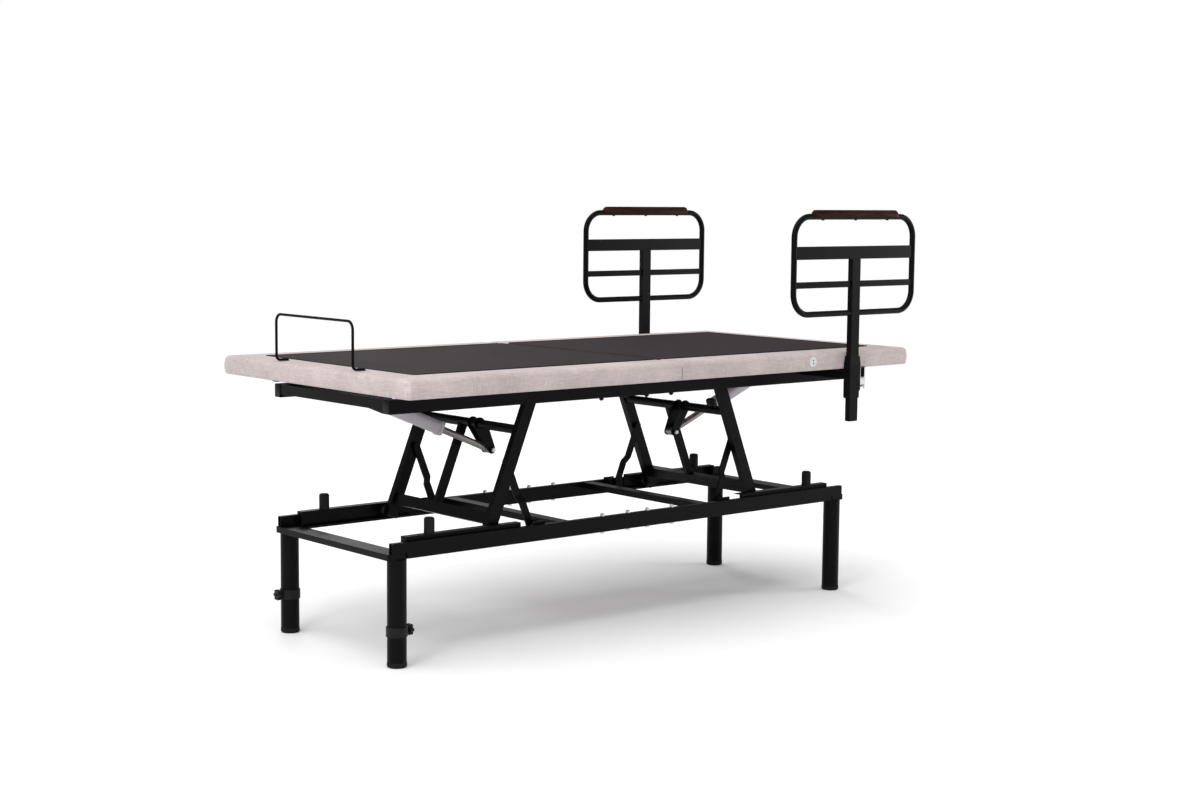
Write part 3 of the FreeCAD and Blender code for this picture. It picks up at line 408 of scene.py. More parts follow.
@dataclass(frozen=True)
class WovenFinish(Finish):
    """Cloth with a plain weave that follows the piece's own UV map, in metres."""

    light: tuple[float, float, float]
    dark: tuple[float, float, float]
    threads: float = 420.0
    slub: float = 0.0012
    depth: float = 0.00025
    roughness: float = 0.85
    sheen: float = 0.08
    specular: float = 0.15
    slub_contrast: float = 0.30
    slub_scales: tuple[tuple[float, float, float], ...] = ((38.0, 420.0, 1.0), (420.0, 38.0, 1.0))

    def dress(self, graph: Graph, shader: bpy.types.Node, place: bpy.types.Node) -> None:
        """Threads give the relief and a painted shade in their hollows; slubs along them and slow clouds mix the
        two colours.
        """
        cloth = place.outputs["UV"]
        weave = graph.add("Group", {"Vector": cloth, "Threads": self.threads, "Slub": self.slub},
                          node_tree=EFFECTS.weave())
        cloudy = graph.noise(place.outputs["Object"], 9.0, 3.0, 0.5)
        tone = graph.math("ADD", graph.math("MULTIPLY", weave.outputs["Tone"], 0.7),
                          graph.math("MULTIPLY", cloudy, 0.3))
        slubs = [graph.noise(graph.stretch(cloth, scale), 1.0, 3.0, 0.6) for scale in self.slub_scales]
        slub = graph.math("MULTIPLY", graph.math("ADD", *slubs), self.slub_contrast)
        tone = graph.math("ADD", graph.math("SUBTRACT", tone, self.slub_contrast), slub)
        sharp = graph.add("MapRange", {0: tone, 1: 0.32, 2: 0.68}).outputs[0]
        color = graph.mix(sharp, opaque(self.dark), opaque(self.light))
        # painted shade: the colour darkens to 0.72 of itself in the hollows between the threads
        thread_hollow_shade = graph.spread(weave.outputs["Height"], 0.72, 1.0)
        graph.fill(shader, {"Base Color": graph.shade(color, thread_hollow_shade),
                            "Roughness": self.roughness,
                            "Sheen Weight": self.sheen,
                            "Sheen Roughness": 0.5,
                            "Specular IOR Level": self.specular})
        bump(graph, shader, weave.outputs["Height"], self.depth)


@dataclass(frozen=True)
class StuddedFinish(Finish):
    """Dark non-slip cloth with a fine raised grid, on the piece's own UV map."""

    color: tuple[float, float, float]
    pitch: float = 320.0
    depth: float = 0.0002
    lighter: float = 1.35
    specular: float = 0.02

    def dress(self, graph: Graph, shader: bpy.types.Node, place: bpy.types.Node) -> None:
        """Cells of a Voronoi grid with little randomness give the studs; their relief also paints shade between
        the studs and a highlight on their tops into the colour.
        """
        cells = graph.add("TexVoronoi", {"Vector": place.outputs["UV"], "Scale": self.pitch,
                                         "Randomness": 0.15})
        relief = graph.add("MapRange", {0: cells.outputs["Distance"], 1: 0.15, 2: 0.55, 3: 1.0, 4: 0.0})
        stud = relief.outputs[0]
        cloudy = graph.noise(place.outputs["Object"], 5.0, 4.0, 0.55)
        color = graph.mix(cloudy, opaque(self.color), opaque(self.color, self.lighter))
        # painted shade and highlight: the stud relief scales the colour from 0.75 between the studs to 1.08 on
        # their tops
        graph.fill(shader, {"Base Color": graph.shade(color, graph.spread(stud, 0.75, 1.08)),
                            "Roughness": graph.spread(cloudy, 0.62, 0.78),
                            "Specular IOR Level": self.specular})
        bump(graph, shader, stud, self.depth)


@dataclass(frozen=True)
class WoodFinish(Finish):
    """Dark oiled hardwood with grain along X."""

    light: tuple[float, float, float]
    dark: tuple[float, float, float]
    pore_shade: float = 0.45
    specular: float = 0.02
    coat: float = 0.03

    def dress(self, graph: Graph, shader: bpy.types.Node, place: bpy.types.Node) -> None:
        """Bands mix two browns, and pores darken and roughen them."""
        grain = graph.add("Group", {"Vector": place.outputs["Object"]}, node_tree=EFFECTS.grain())
        bands, pores = grain.outputs["Bands"], grain.outputs["Pores"]
        band = graph.add("MapRange", {0: bands, 1: 0.38, 2: 0.62}).outputs[0]
        color = graph.mix(band, opaque(self.dark), opaque(self.light))
        graph.fill(shader, {"Base Color": graph.mix(pores, color, opaque(self.dark, self.pore_shade)),
                            "Roughness": graph.spread(pores, 0.3, 0.55),
                            "Coat Weight": self.coat,
                            "Coat Roughness": 0.2,
                            "Specular IOR Level": self.specular})
        bump(graph, shader, bands, 0.00012)


@dataclass(frozen=True)
class BareMetalFinish(Finish):
    """Polished, ground or plated metal with fine directional scratches."""

    color: tuple[float, float, float]
    roughness: tuple[float, float] = (0.12, 0.28)
    direction: tuple[float, float, float] = (40.0, 900.0, 900.0)

    def dress(self, graph: Graph, shader: bpy.types.Node, place: bpy.types.Node) -> None:
        """Scratches change the roughness and relief, and dull patches the colour."""
        scratch = graph.noise(graph.stretch(place.outputs["Object"], self.direction), 1.0, 3.0, 0.6)
        dull = graph.noise(place.outputs["Object"], 30.0, 3.0, 0.5)
        worn = graph.math("MULTIPLY", scratch, dull)
        graph.fill(shader, {"Base Color": graph.mix(dull, opaque(self.color, 0.85), opaque(self.color)),
                            "Roughness": graph.spread(worn, self.roughness[0], self.roughness[1] * 2),
                            "Metallic": 1.0})
        bump(graph, shader, scratch, 0.00001)


FINISHES = {
    "black_paint": CoatedFinish("black_powder_coat", (0.0018, 0.0018, 0.0022), (0.32, 0.46), specular=0.08),
    "black_rubber": CoatedFinish("black_rubber", (0.008, 0.008, 0.008), (0.65, 0.8), peel=500.0,
                                 depth=0.00006),
    "zinc_steel": BareMetalFinish("zinc_plate", (0.62, 0.63, 0.66), (0.22, 0.4)),
    "chrome": BareMetalFinish("chrome_plate", (0.78, 0.79, 0.81), (0.05, 0.12)),
    "black_plastic": CoatedFinish("black_moulded_plastic", (0.008, 0.008, 0.009), (0.42, 0.58), peel=1500.0),
    "roller_nylon": CoatedFinish("dark_nylon", (0.016, 0.016, 0.017), (0.4, 0.55)),
    "rod_steel": BareMetalFinish("ground_rod", (0.29, 0.27, 0.255), (0.24, 0.40)),
    "actuator_grey": CoatedFinish("silver_housing", (0.42, 0.385, 0.43), (0.32, 0.46), metallic=0.2,
                                  lighter=1.1, specular=0.4),
    "port_grey": CoatedFinish("port_ring", (0.62, 0.60, 0.60), (0.25, 0.4), metallic=0.1, lighter=1.1,
                              specular=0.5),
    "upholstery": WovenFinish("linen_cover", (0.69, 0.60, 0.59), (0.41, 0.35, 0.345)),
    "dark_cover": StuddedFinish("charcoal_top", (0.033, 0.027, 0.029)),
    "armrest_wood": WoodFinish("dark_walnut", (0.046, 0.016, 0.011), (0.020, 0.008, 0.006)),
    "binding": CoatedFinish("black_binding", (0.006, 0.006, 0.007), (0.7, 0.85), peel=700.0, depth=0.0001,
                            specular=0.05),
    "thread": CoatedFinish("pale_thread", (0.60, 0.55, 0.54), (0.7, 0.8), peel=2500.0),
}


class Paint:
    """Makes each finish's material once and hands it out."""

    def __init__(self) -> None:
        """Start with no materials."""
        self._made: dict[str, bpy.types.Material] = {}

    def get(self, finish: str) -> bpy.types.Material:
        """Fetch a finish's material.

        Args:
            finish: a key of FINISHES.

        Returns:
            The material.
        """
        if finish not in self._made:
            self._made[finish] = FINISHES[finish].build()
        return self._made[finish]


PAINT = Paint()


def build_mesh(name: str, points: Array, faces: Sequence[Sequence[int]], sharp: float = 40.0,
               uvs: Array | None = None) -> bpy.types.Object:
    """Put points and faces into an object at the origin, with outward normals.

    Args:
        name: the piece's name.
        points: vertices, shape (n, 3).
        faces: vertex indices of each face.
        sharp: edges bent more than this many degrees stay sharp.
        uvs: one UV per vertex, in metres, or None.

    Returns:
        The object.
    """
    mesh = bpy.data.meshes.new(name)
    mesh.from_pydata(points.tolist(), [], [list(f) for f in faces])
    if uvs is not None:
        layer = mesh.uv_layers.new(name="cloth")
        corners = np.zeros(len(mesh.loops), np.int32)
        mesh.loops.foreach_get("vertex_index", corners)
        layer.data.foreach_set("uv", uvs[corners].astype(np.float32).ravel())
    shaped = bmesh.new()
    shaped.from_mesh(mesh)
    bmesh.ops.recalc_face_normals(shaped, faces=shaped.faces)
    shaped.to_mesh(mesh)
    shaped.free()
    mesh.validate()
    mesh.shade_smooth()
    mesh.set_sharp_from_angle(angle=math.radians(sharp))
    piece = bpy.data.objects.new(name, mesh)
    bpy.context.scene.collection.objects.link(piece)
    return piece


def grid_faces(rows: int, columns: int, wrap: bool = False) -> Array:
    """Quads of a grid of points numbered row by row.

    Args:
        rows: number of rows.
        columns: number of points in a row.
        wrap: join the last column to the first.

    Returns:
        Indices, shape (n, 4).
    """
    r, c = np.meshgrid(np.arange(rows - 1), np.arange(columns if wrap else columns - 1), indexing="ij")
    r, c = r.ravel(), c.ravel()
    n = (c + 1) % columns
    return np.stack([r * columns + c, r * columns + n, (r + 1) * columns + n, (r + 1) * columns + c], 1)


def loft(name: str, rings: Array, sharp: float = 40.0) -> bpy.types.Object:
    """Closed solid through rings of points, with both ends capped.

    Args:
        name: the piece's name.
        rings: points, shape (rings, points of a ring, 3).
        sharp: as in build_mesh.

    Returns:
        The object.
    """
    count, ring = rings.shape[:2]
    faces = [list(f) for f in grid_faces(count, ring, wrap=True)]
    faces.append(list(range(ring)))
    faces.append([(count - 1) * ring + k for k in range(ring)][::-1])
    return build_mesh(name, rings.reshape(-1, 3), faces, sharp)


def frames_along(path: Array) -> tuple[Array, Array]:
    """Two unit vectors across a path, which turn as little as they can.

    Args:
        path: points, shape (n, 3).

    Returns:
        Side and up vectors, each of shape (n, 3).
    """
    tangent = np.gradient(path, axis=0)
    tangent /= np.linalg.norm(tangent, axis=1)[:, None]
    guess = np.array([0.0, 1.0, 0.0]) if abs(tangent[0][1]) < 0.9 else np.array([1.0, 0.0, 0.0])
    planar = np.linalg.svd(path - path.mean(0))[2][2] if len(path) > 2 else guess
    side = planar if abs(planar @ tangent[0]) < 0.2 else guess
    side = side - (tangent @ side)[:, None] * tangent
    side /= np.linalg.norm(side, axis=1)[:, None]
    return side, np.cross(tangent, side)


def tube(name: str, path: Array, radius: float | Array, sides: int = 16) -> bpy.types.Object:
    """Round bar along a path: centre + radius (side cos t + up sin t).

    Args:
        name: the piece's name.
        path: centre line in one plane, shape (n, 3).
        radius: one radius, or one for each point.
        sides: points round the bar.

    Returns:
        The object.
    """
    side, up = frames_along(path)
    t = np.linspace(0, 2 * np.pi, sides, endpoint=False)
    r = np.broadcast_to(radius, len(path))[:, None, None]
    circle = side[:, None, :] * np.cos(t)[None, :, None] + up[:, None, :] * np.sin(t)[None, :, None]
    return loft(name, path[:, None, :] + r * circle, 50.0)


def rounded_path(corners: Array, radii: Sequence[float], steps: int = 8) -> Array:
    """Straight runs joined by arcs at the inner corners.

    Args:
        corners: points, shape (n, 3).
        radii: arc radius at each inner corner.
        steps: points on each arc.

    Returns:
        Points along the path.
    """
    points = [corners[0]]
    for before, corner, after, radius in zip(corners, corners[1:], corners[2:], radii):
        a = (before - corner) / np.linalg.norm(before - corner)
        b = (after - corner) / np.linalg.norm(after - corner)
        half = math.acos(float(np.clip(a @ b, -1, 1))) / 2
        centre = corner + (a + b) / np.linalg.norm(a + b) * radius / math.sin(half)
        start, stop = corner + a * radius / math.tan(half), corner + b * radius / math.tan(half)
        t = np.linspace(0, 1, steps)[:, None]
        chord = (1 - t) * (start - centre) + t * (stop - centre)
        points.extend(centre + chord / np.linalg.norm(chord, axis=1)[:, None] * radius)
    points.append(corners[-1])
    return np.array(points)


def rounded_rectangle(width: float, height: float, radius: float, steps: int = 6) -> Array:
    """Outline of a rectangle with round corners.

    Args:
        width: size along the first axis.
        height: size along the second axis.
        radius: corner radius.
        steps: points on each corner.

    Returns:
        Points, shape (4 steps, 2).
    """
    t = np.linspace(0, np.pi / 2, steps)
    angle = (np.arange(4)[:, None] * np.pi / 2 + t[None, :]).ravel()
    signs = np.array([[1, 1], [-1, 1], [-1, -1], [1, -1]])
    centre = np.repeat(signs * [width / 2 - radius, height / 2 - radius], steps, axis=0)
    return centre + radius * np.stack([np.cos(angle), np.sin(angle)], 1)


def bar_along(name: str, start: Array, stop: Array, width: float, height: float, corner: float,
              bevel: float = 0.0015) -> bpy.types.Object:
    """Rounded bar with bevelled ends between two points in an XZ plane.

    Args:
        name: the piece's name.
        start: centre of the first end.
        stop: centre of the last end.
        width: size along Y.
        height: size across the bar in the XZ plane.
        corner: radius of the long edges.
        bevel: bevel at both ends.

    Returns:
        The object.
    """
    along = (stop - start) / np.linalg.norm(stop - start)
    across = np.cross(along, AXIS_Y)
    length = np.linalg.norm(stop - start)
    rings = []
    for at, inset in ((0, bevel), (bevel, 0), (length - bevel, 0), (length, bevel)):
        outline = rounded_rectangle(width - 2 * inset, height - 2 * inset, max(corner - inset, 0.0005))
        rings.append(start + along * at + outline[:, :1] * AXIS_Y + outline[:, 1:] * across)
    return loft(name, np.array(rings), 35.0)


def turned(name: str, centre: Array, axis: Array, profile: Sequence[tuple[float, float]],
           sides: int = 32) -> bpy.types.Object:
    """Turned solid: each profile point (distance along the axis, radius) becomes a ring.

    Args:
        name: the piece's name.
        centre: where the distance is 0.
        axis: unit vector.
        profile: distances and radii from one end to the other.
        sides: points round the axis.

    Returns:
        The object.
    """
    axis = np.asarray(axis, float)
    side = np.cross(axis, [0.0, 0.0, 1.0] if abs(axis[2]) < 0.9 else [1.0, 0.0, 0.0])
    side /= np.linalg.norm(side)
    up = np.cross(axis, side)
    t = np.linspace(0, 2 * np.pi, sides, endpoint=False)[:, None]
    rings = [centre + axis * at + r * (side * np.cos(t) + up * np.sin(t)) for at, r in profile]
    return loft(name, np.array(rings), 35.0)


def stacked(name: str, centre: Array, axis: int, size: tuple[float, float], corner: float,
            levels: Sequence[tuple[float, float]]) -> bpy.types.Object:
    """Rounded rectangles stacked along X, Y or Z.

    Args:
        name: the piece's name.
        centre: the point that levels count from.
        axis: 0, 1 or 2 for X, Y or Z.
        size: width and height of the outline, along the other two axes.
        corner: its corner radius.
        levels: distance along the axis and how far the outline shrinks there.

    Returns:
        The object.
    """
    outline = rounded_rectangle(*size, corner)
    others = [k for k in range(3) if k != axis]
    rings = np.empty((len(levels), len(outline), 3))
    for ring, (distance, shrink) in zip(rings, levels):
        ring[:, axis] = centre[axis] + distance
        ring[:, others] = centre[others] + outline * (1 - 2 * shrink / np.array(size))
    return loft(name, rings, 35.0)


def joined(name: str, parts: Sequence[bpy.types.Object]) -> bpy.types.Object:
    """Make one object of several.

    Args:
        name: the result's name.
        parts: the objects to join.

    Returns:
        The joined object.
    """
    whole = bmesh.new()
    for part in parts:
        whole.from_mesh(part.data)
        mesh = part.data
        bpy.data.objects.remove(part)
        bpy.data.meshes.remove(mesh)
    mesh = bpy.data.meshes.new(name)
    whole.to_mesh(mesh)
    whole.free()
    piece = bpy.data.objects.new(name, mesh)
    bpy.context.scene.collection.objects.link(piece)
    return piece


def finish(piece: bpy.types.Object, body: str, material: str, slot: str,
           *stands_for: str) -> bpy.types.Object:
    """Dress a piece and let it ride.

    Args:
        piece: the object.
        body: the CAD body it moves with.
        material: a key of FINISHES.
        slot: the record's material slot; not used.
        *stands_for: CAD nodes it replaces.

    Returns:
        The piece.
    """
    piece.data.materials.clear()
    piece.data.materials.append(PAINT.get(material))
    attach(piece, body)
    if stands_for:
        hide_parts(*stands_for)
    LOG.info("%s: %d faces", piece.name, len(piece.data.polygons))
    return piece


def box_of(node: str) -> tuple[Array, Array]:
    """A CAD node's corners as arrays."""
    low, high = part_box(node)
    return np.array(low), np.array(high)


def joint_named(name: str) -> dict[str, Any]:
    """The record's joint of that name."""
    return next(j for j in frame["joints"] if j["name"] == name)


@dataclass
class UpholsteredHalf:
    """One half of the deck: a linen-covered tray, its dark top and its binding."""

    end: End
    border: float = 0.046
    corner: float = 0.018
    edge: float = 0.015
    lower_edge: float = 0.009
    board: float = 0.020
    inset: float = 0.125
    crown: float = 0.0016
    bulge: float = 0.0018
    wave: float = 0.0008
    crease: float = 0.0007
    side_column: int = 12
    corner_station: int = 78
    soft_rim: float = 0.006
    low: Array = field(init=False)
    high: Array = field(init=False)

    def __post_init__(self) -> None:
        """Read the half's size from the frame."""
        self.low, self.high = box_of(f"deck_{self.end.word}_half")
        self.hinge = np.array(joint_named("head_raise")["pos_m"])
        sign = self.end.value
        self.seam = self.low[0] if sign > 0 else self.high[0]
        self.length = float(self.high[0] - self.low[0])
        self.half = float(self.high[1])

    def profile(self) -> Array:
        """Section of the tray, from the top's middle to the underside.

        Returns:
            Distances in from the outline and heights, shape (n, 2).
        """
        top, bottom = float(self.high[2]), float(self.low[2])
        s = np.linspace(0, 1, 9)
        rise = top + self.crown * np.sin(np.pi * s) ** 2
        crowned = np.stack([self.inset + (self.edge - self.inset) * s, rise], 1)
        t = np.linspace(0, np.pi / 2, 8)[1:]
        upper = np.stack([self.edge * (1 - np.sin(t)), top - self.edge * (1 - np.cos(t))], 1)
        fold = float(self.hinge[2])
        heights = np.concatenate([np.linspace(top - self.edge, fold, 3)[1:],
                                  np.linspace(fold, bottom + self.lower_edge, 9)[1:]])
        span = (heights - bottom - self.lower_edge) / (top - self.edge - bottom - self.lower_edge)
        side = np.stack([-self.bulge * np.sin(np.pi * span), heights], 1)
        t = np.linspace(0, np.pi / 2, 6)[1:]
        lower = np.stack([self.lower_edge * (1 - np.cos(t)), bottom + self.lower_edge * (1 - np.sin(t))], 1)
        under = np.array([[self.border - 0.006, bottom], [self.border, bottom + 0.005],
                          [self.border, top - self.board], [self.inset, top - self.board]])
        return np.concatenate([crowned, upper, side, lower, under])

    def outline(self, inset: Array, height: Array) -> Array:
        """Plan path round three sides at each inset: straight, corner, straight, corner, straight.

        Args:
            inset: distance in from the outline, one for each profile point.
            height: height of each profile point, which sets where the fold's slope cuts it.

        Returns:
            X distance from the seam and Y, shape (stations, profile points, 2).
        """
        d, z = inset[None, :], height[None, :]
        radius = np.maximum(self.corner - d, 0.002)
        start = np.maximum(z - self.hinge[2], 0.0)
        t = np.linspace(0, 1, 72)[:, None]
        straight = start + (self.length - d - radius - start) * t
        near = np.stack(np.broadcast_arrays(straight, -self.half + d + 0 * t), 2)
        a = np.linspace(0, np.pi / 2, 14)[1:, None]
        bend = -self.half + d + radius
        turn = np.stack([self.length - d - radius + radius * np.sin(a), bend - radius * np.cos(a)], 2)
        across = np.linspace(0, 1, 64)[1:, None]
        width = 2 * (self.half - d - radius)
        end = np.stack(np.broadcast_arrays(self.length - d + 0 * across, bend + width * across), 2)
        first = np.concatenate([near, turn], 0)
        mirror = first[::-1] * np.array([1.0, -1.0])
        return np.concatenate([first, end[:-1], mirror], 0)

    def tray(self) -> bpy.types.Object:
        """Linen tray: the profile carried round three sides, closed by flat faces at the seam and inside.

        Returns:
            The object.
        """
        section = self.profile()
        plan = self.outline(section[:, 0], section[:, 1])
        stations, count = plan.shape[:2]
        z = np.broadcast_to(section[:, 1], (stations, count)).copy()
        middle = plan[:, self.side_column]
        run = np.concatenate([[0], np.cumsum(np.linalg.norm(np.diff(middle, axis=0), axis=1))])
        along = run[:, None]
        # slow waves of the padding, strongest half-way down the side and at the corners
        on_side = np.exp(-((z - (self.low[2] + self.high[2]) / 2) / 0.02) ** 2) * (section[None, :, 0] < 0.02)
        wave = np.sin(along * 23.0) + 0.6 * np.sin(along * 61.0 + 1.3) + 0.4 * np.sin(along * 97.0 + z * 90.0)
        corners = [float(run[self.corner_station]), float(run[-self.corner_station - 1])]
        near_corner = sum(np.exp(-((along - c) / 0.035) ** 2) for c in corners)
        crease = near_corner * self.crease * np.sin(along * 520.0)
        fade = np.clip(along / 0.05, 0, 1) * np.clip((run[-1] - along) / 0.05, 0, 1)
        normal = np.gradient(middle, axis=0)[:, ::-1] * np.array([1.0, -1.0])
        normal /= np.linalg.norm(normal, axis=1)[:, None]
        plan = plan + normal[:, None, :] * ((self.wave * wave + crease) * on_side * fade)[:, :, None]
        x = self.seam + self.end.value * plan[:, :, 0]
        # the padding lies flat where an assist rail's sleeve stands beside it
        socket_low, socket_high = box_of("rail_socket_near")
        beside = np.exp(-((x - (socket_low[0] + socket_high[0]) / 2) / 0.055) ** 4)
        y = plan[:, :, 1]
        port_low, port_high = box_of("charging_port")
        round_port = np.exp(-((x - (port_low[0] + port_high[0]) / 2) / 0.030) ** 4) * (y < 0)
        beside = np.maximum(beside, round_port)
        proud = np.maximum(np.abs(y) - self.half, 0.0)
        y = y - np.sign(y) * proud * beside
        points = np.stack([x, y, z], 2).reshape(-1, 3)
        across = np.concatenate([[0], np.cumsum(np.linalg.norm(np.diff(section, axis=0), axis=1))])
        uvs = np.stack(np.broadcast_arrays(along, across[None, :]), 2).reshape(-1, 2)
        faces = [list(f) for f in grid_faces(stations, count)]
        last = (stations - 1) * count
        fold = int(np.argmin(np.abs(section[:24, 1] - self.hinge[2]) + (section[:24, 0] > 0.005)))
        faces.append([k for k in range(fold + 1)] + [last + k for k in range(fold, -1, -1)])
        faces.append([k for k in range(fold, count)] + [last + k for k in range(count - 1, fold - 1, -1)])
        faces.append([k * count for k in range(stations)])
        faces.append([k * count + count - 1 for k in range(stations)][::-1])
        piece = build_mesh(f"{self.end.word}_upholstery", points, faces, 38.0, uvs)
        return finish(piece, f"{self.end.word}_deck", "upholstery", "upholstery",
                      f"deck_{self.end.word}_half")

    def cover(self) -> bpy.types.Object:
        """Dark top: a thin sheet with soft edges that turns down the fold's slope.

        Returns:
            The object.
        """
        low, high = box_of(f"deck_{self.end.word}_cover")
        top, under = float(high[2]), float(self.high[2]) - 0.0008
        far = float(abs((high[0] if self.end.value > 0 else low[0]) - self.seam))
        half = float(high[1])
        crease = top - float(self.hinge[2])
        s = np.concatenate([np.linspace(0, 1, 5), np.linspace(0, 1, 90)[1:]])
        x = np.concatenate([0.004 + (crease - 0.004) * np.linspace(0, 1, 5), crease + (far - crease) * s[5:]])
        z = np.where(np.arange(len(x)) < 5, float(self.hinge[2]) + x + 0.0008, top)
        y = np.linspace(-half, half, 70)
        grid_x, grid_y = np.meshgrid(x, y, indexing="ij")
        grid_z = np.broadcast_to(z[:, None], grid_x.shape).copy()
        inward = np.minimum(np.minimum(half - np.abs(grid_y), far - grid_x), self.soft_rim) / self.soft_rim
        round_off = 0.002 * (1 - np.sqrt(np.clip(1 - (1 - inward) ** 2, 0, 1)))
        rolling = 0.0007 * np.sin(grid_x * 9.0 + 0.7) * np.sin(grid_y * 7.0 + 0.4)
        rolling = rolling * (grid_x > crease) * inward
        grid_z = grid_z - round_off + rolling - 0.0004
        lower = np.where(grid_x <= crease, grid_z - 0.003, under)
        lower_x = np.where(grid_x <= crease, grid_x + 0.003, grid_x)
        rows, columns = grid_x.shape
        sign, seam = self.end.value, self.seam
        upper_points = np.stack([seam + sign * grid_x, grid_y, grid_z], 2).reshape(-1, 3)
        lower_z = np.minimum(lower, grid_z - 0.0006)
        lower_points = np.stack([seam + sign * lower_x, grid_y, lower_z], 2).reshape(-1, 3)
        count = rows * columns
        quads = grid_faces(rows, columns)
        index = np.arange(count).reshape(rows, columns)
        rim = np.concatenate([index[0, :-1], index[:-1, -1], index[-1, :0:-1], index[:0:-1, 0]])
        after = np.roll(rim, -1)
        sides = np.stack([rim, after, after + count, rim + count], 1)
        faces = [list(f) for f in np.concatenate([quads, quads[:, ::-1] + count, sides])]
        uvs = np.stack([grid_x.ravel(), grid_y.ravel()], 1)
        points = np.concatenate([upper_points, lower_points])
        piece = build_mesh(f"{self.end.word}_dark_top", points, faces, 50.0, np.concatenate([uvs, uvs]))
        return finish(piece, f"{self.end.word}_deck", "dark_cover", "dark_cover",
                      f"deck_{self.end.word}_cover")

    def trim(self) -> bpy.types.Object:
        """Black binding cord where the dark top meets the linen, on three sides.

        Returns:
            The object.
        """
        low, high = box_of(f"deck_{self.end.word}_cover")
        far = high[0] if self.end.value > 0 else low[0]
        near = self.seam + self.end.value * (high[2] - self.hinge[2] + 0.004)
        z, half = float(self.high[2]) + 0.0014, float(high[1]) + 0.0008
        far = far + self.end.value * 0.0008
        corners = np.array([[near, -half, z], [far, -half, z], [far, half, z], [near, half, z]])
        piece = tube(f"{self.end.word}_binding", rounded_path(corners, [0.006, 0.006]), 0.0018, 10)
        return finish(piece, f"{self.end.word}_deck", "binding", "dark_cover")

    def stitches(self) -> bpy.types.Object:
        """Row of stitches just outside the binding: short six-sided bars laid end to end.

        Returns:
            The object.
        """
        _, high = box_of(f"deck_{self.end.word}_cover")
        half = float(high[1]) + 0.008
        step, size = 0.0075, 0.0052
        x = np.arange(0.03, self.length - 0.097, step)
        y = np.arange(-half, half, step)
        rows = [(np.stack([x, np.full_like(x, s * half)], 1), (1.0, 0.0)) for s in (-1, 1)]
        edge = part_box(f"deck_{self.end.word}_cover")[1 if self.end.value > 0 else 0].x
        reach = abs(edge - self.seam) + 0.008
        rows.append((np.stack([np.full_like(y, reach), y], 1), (0.0, 1.0)))
        points, faces = [], []
        angle = np.arange(6) * np.pi / 3
        for centres, (dx, dy) in rows:
            for tip in (-size / 2, size / 2):
                ring_x = centres[:, 0, None] + dx * tip - dy * 0.0005 * np.cos(angle)
                ring_y = centres[:, 1, None] + dy * tip + dx * 0.0005 * np.cos(angle)
                ring_z = float(self.high[2]) + 0.0006 + 0.0005 * np.sin(angle) + 0 * ring_x
                ring = np.stack([self.seam + self.end.value * ring_x, ring_y, ring_z], 2)
                points.append(ring.reshape(-1, 3))
        start = 0
        for first, second in zip(points[::2], points[1::2]):
            count = len(first)
            base = np.arange(0, count, 6)[:, None]
            k = np.arange(6)
            quads = np.stack([base + k, base + (k + 1) % 6, base + (k + 1) % 6 + count, base + k + count], 2)
            faces.extend((quads.reshape(-1, 4) + start).tolist())
            faces.extend((base + k + start).tolist())
            faces.extend((base + k[::-1] + start + count).tolist())
            start += 2 * count
        piece = build_mesh(f"{self.end.word}_stitches", np.concatenate(points), faces, 60.0)
        return finish(piece, f"{self.end.word}_deck", "thread", "upholstery")

    def build(self) -> None:
        """Make the half's pieces."""
        self.tray()
        self.cover()
        self.trim()
        self.stitches()


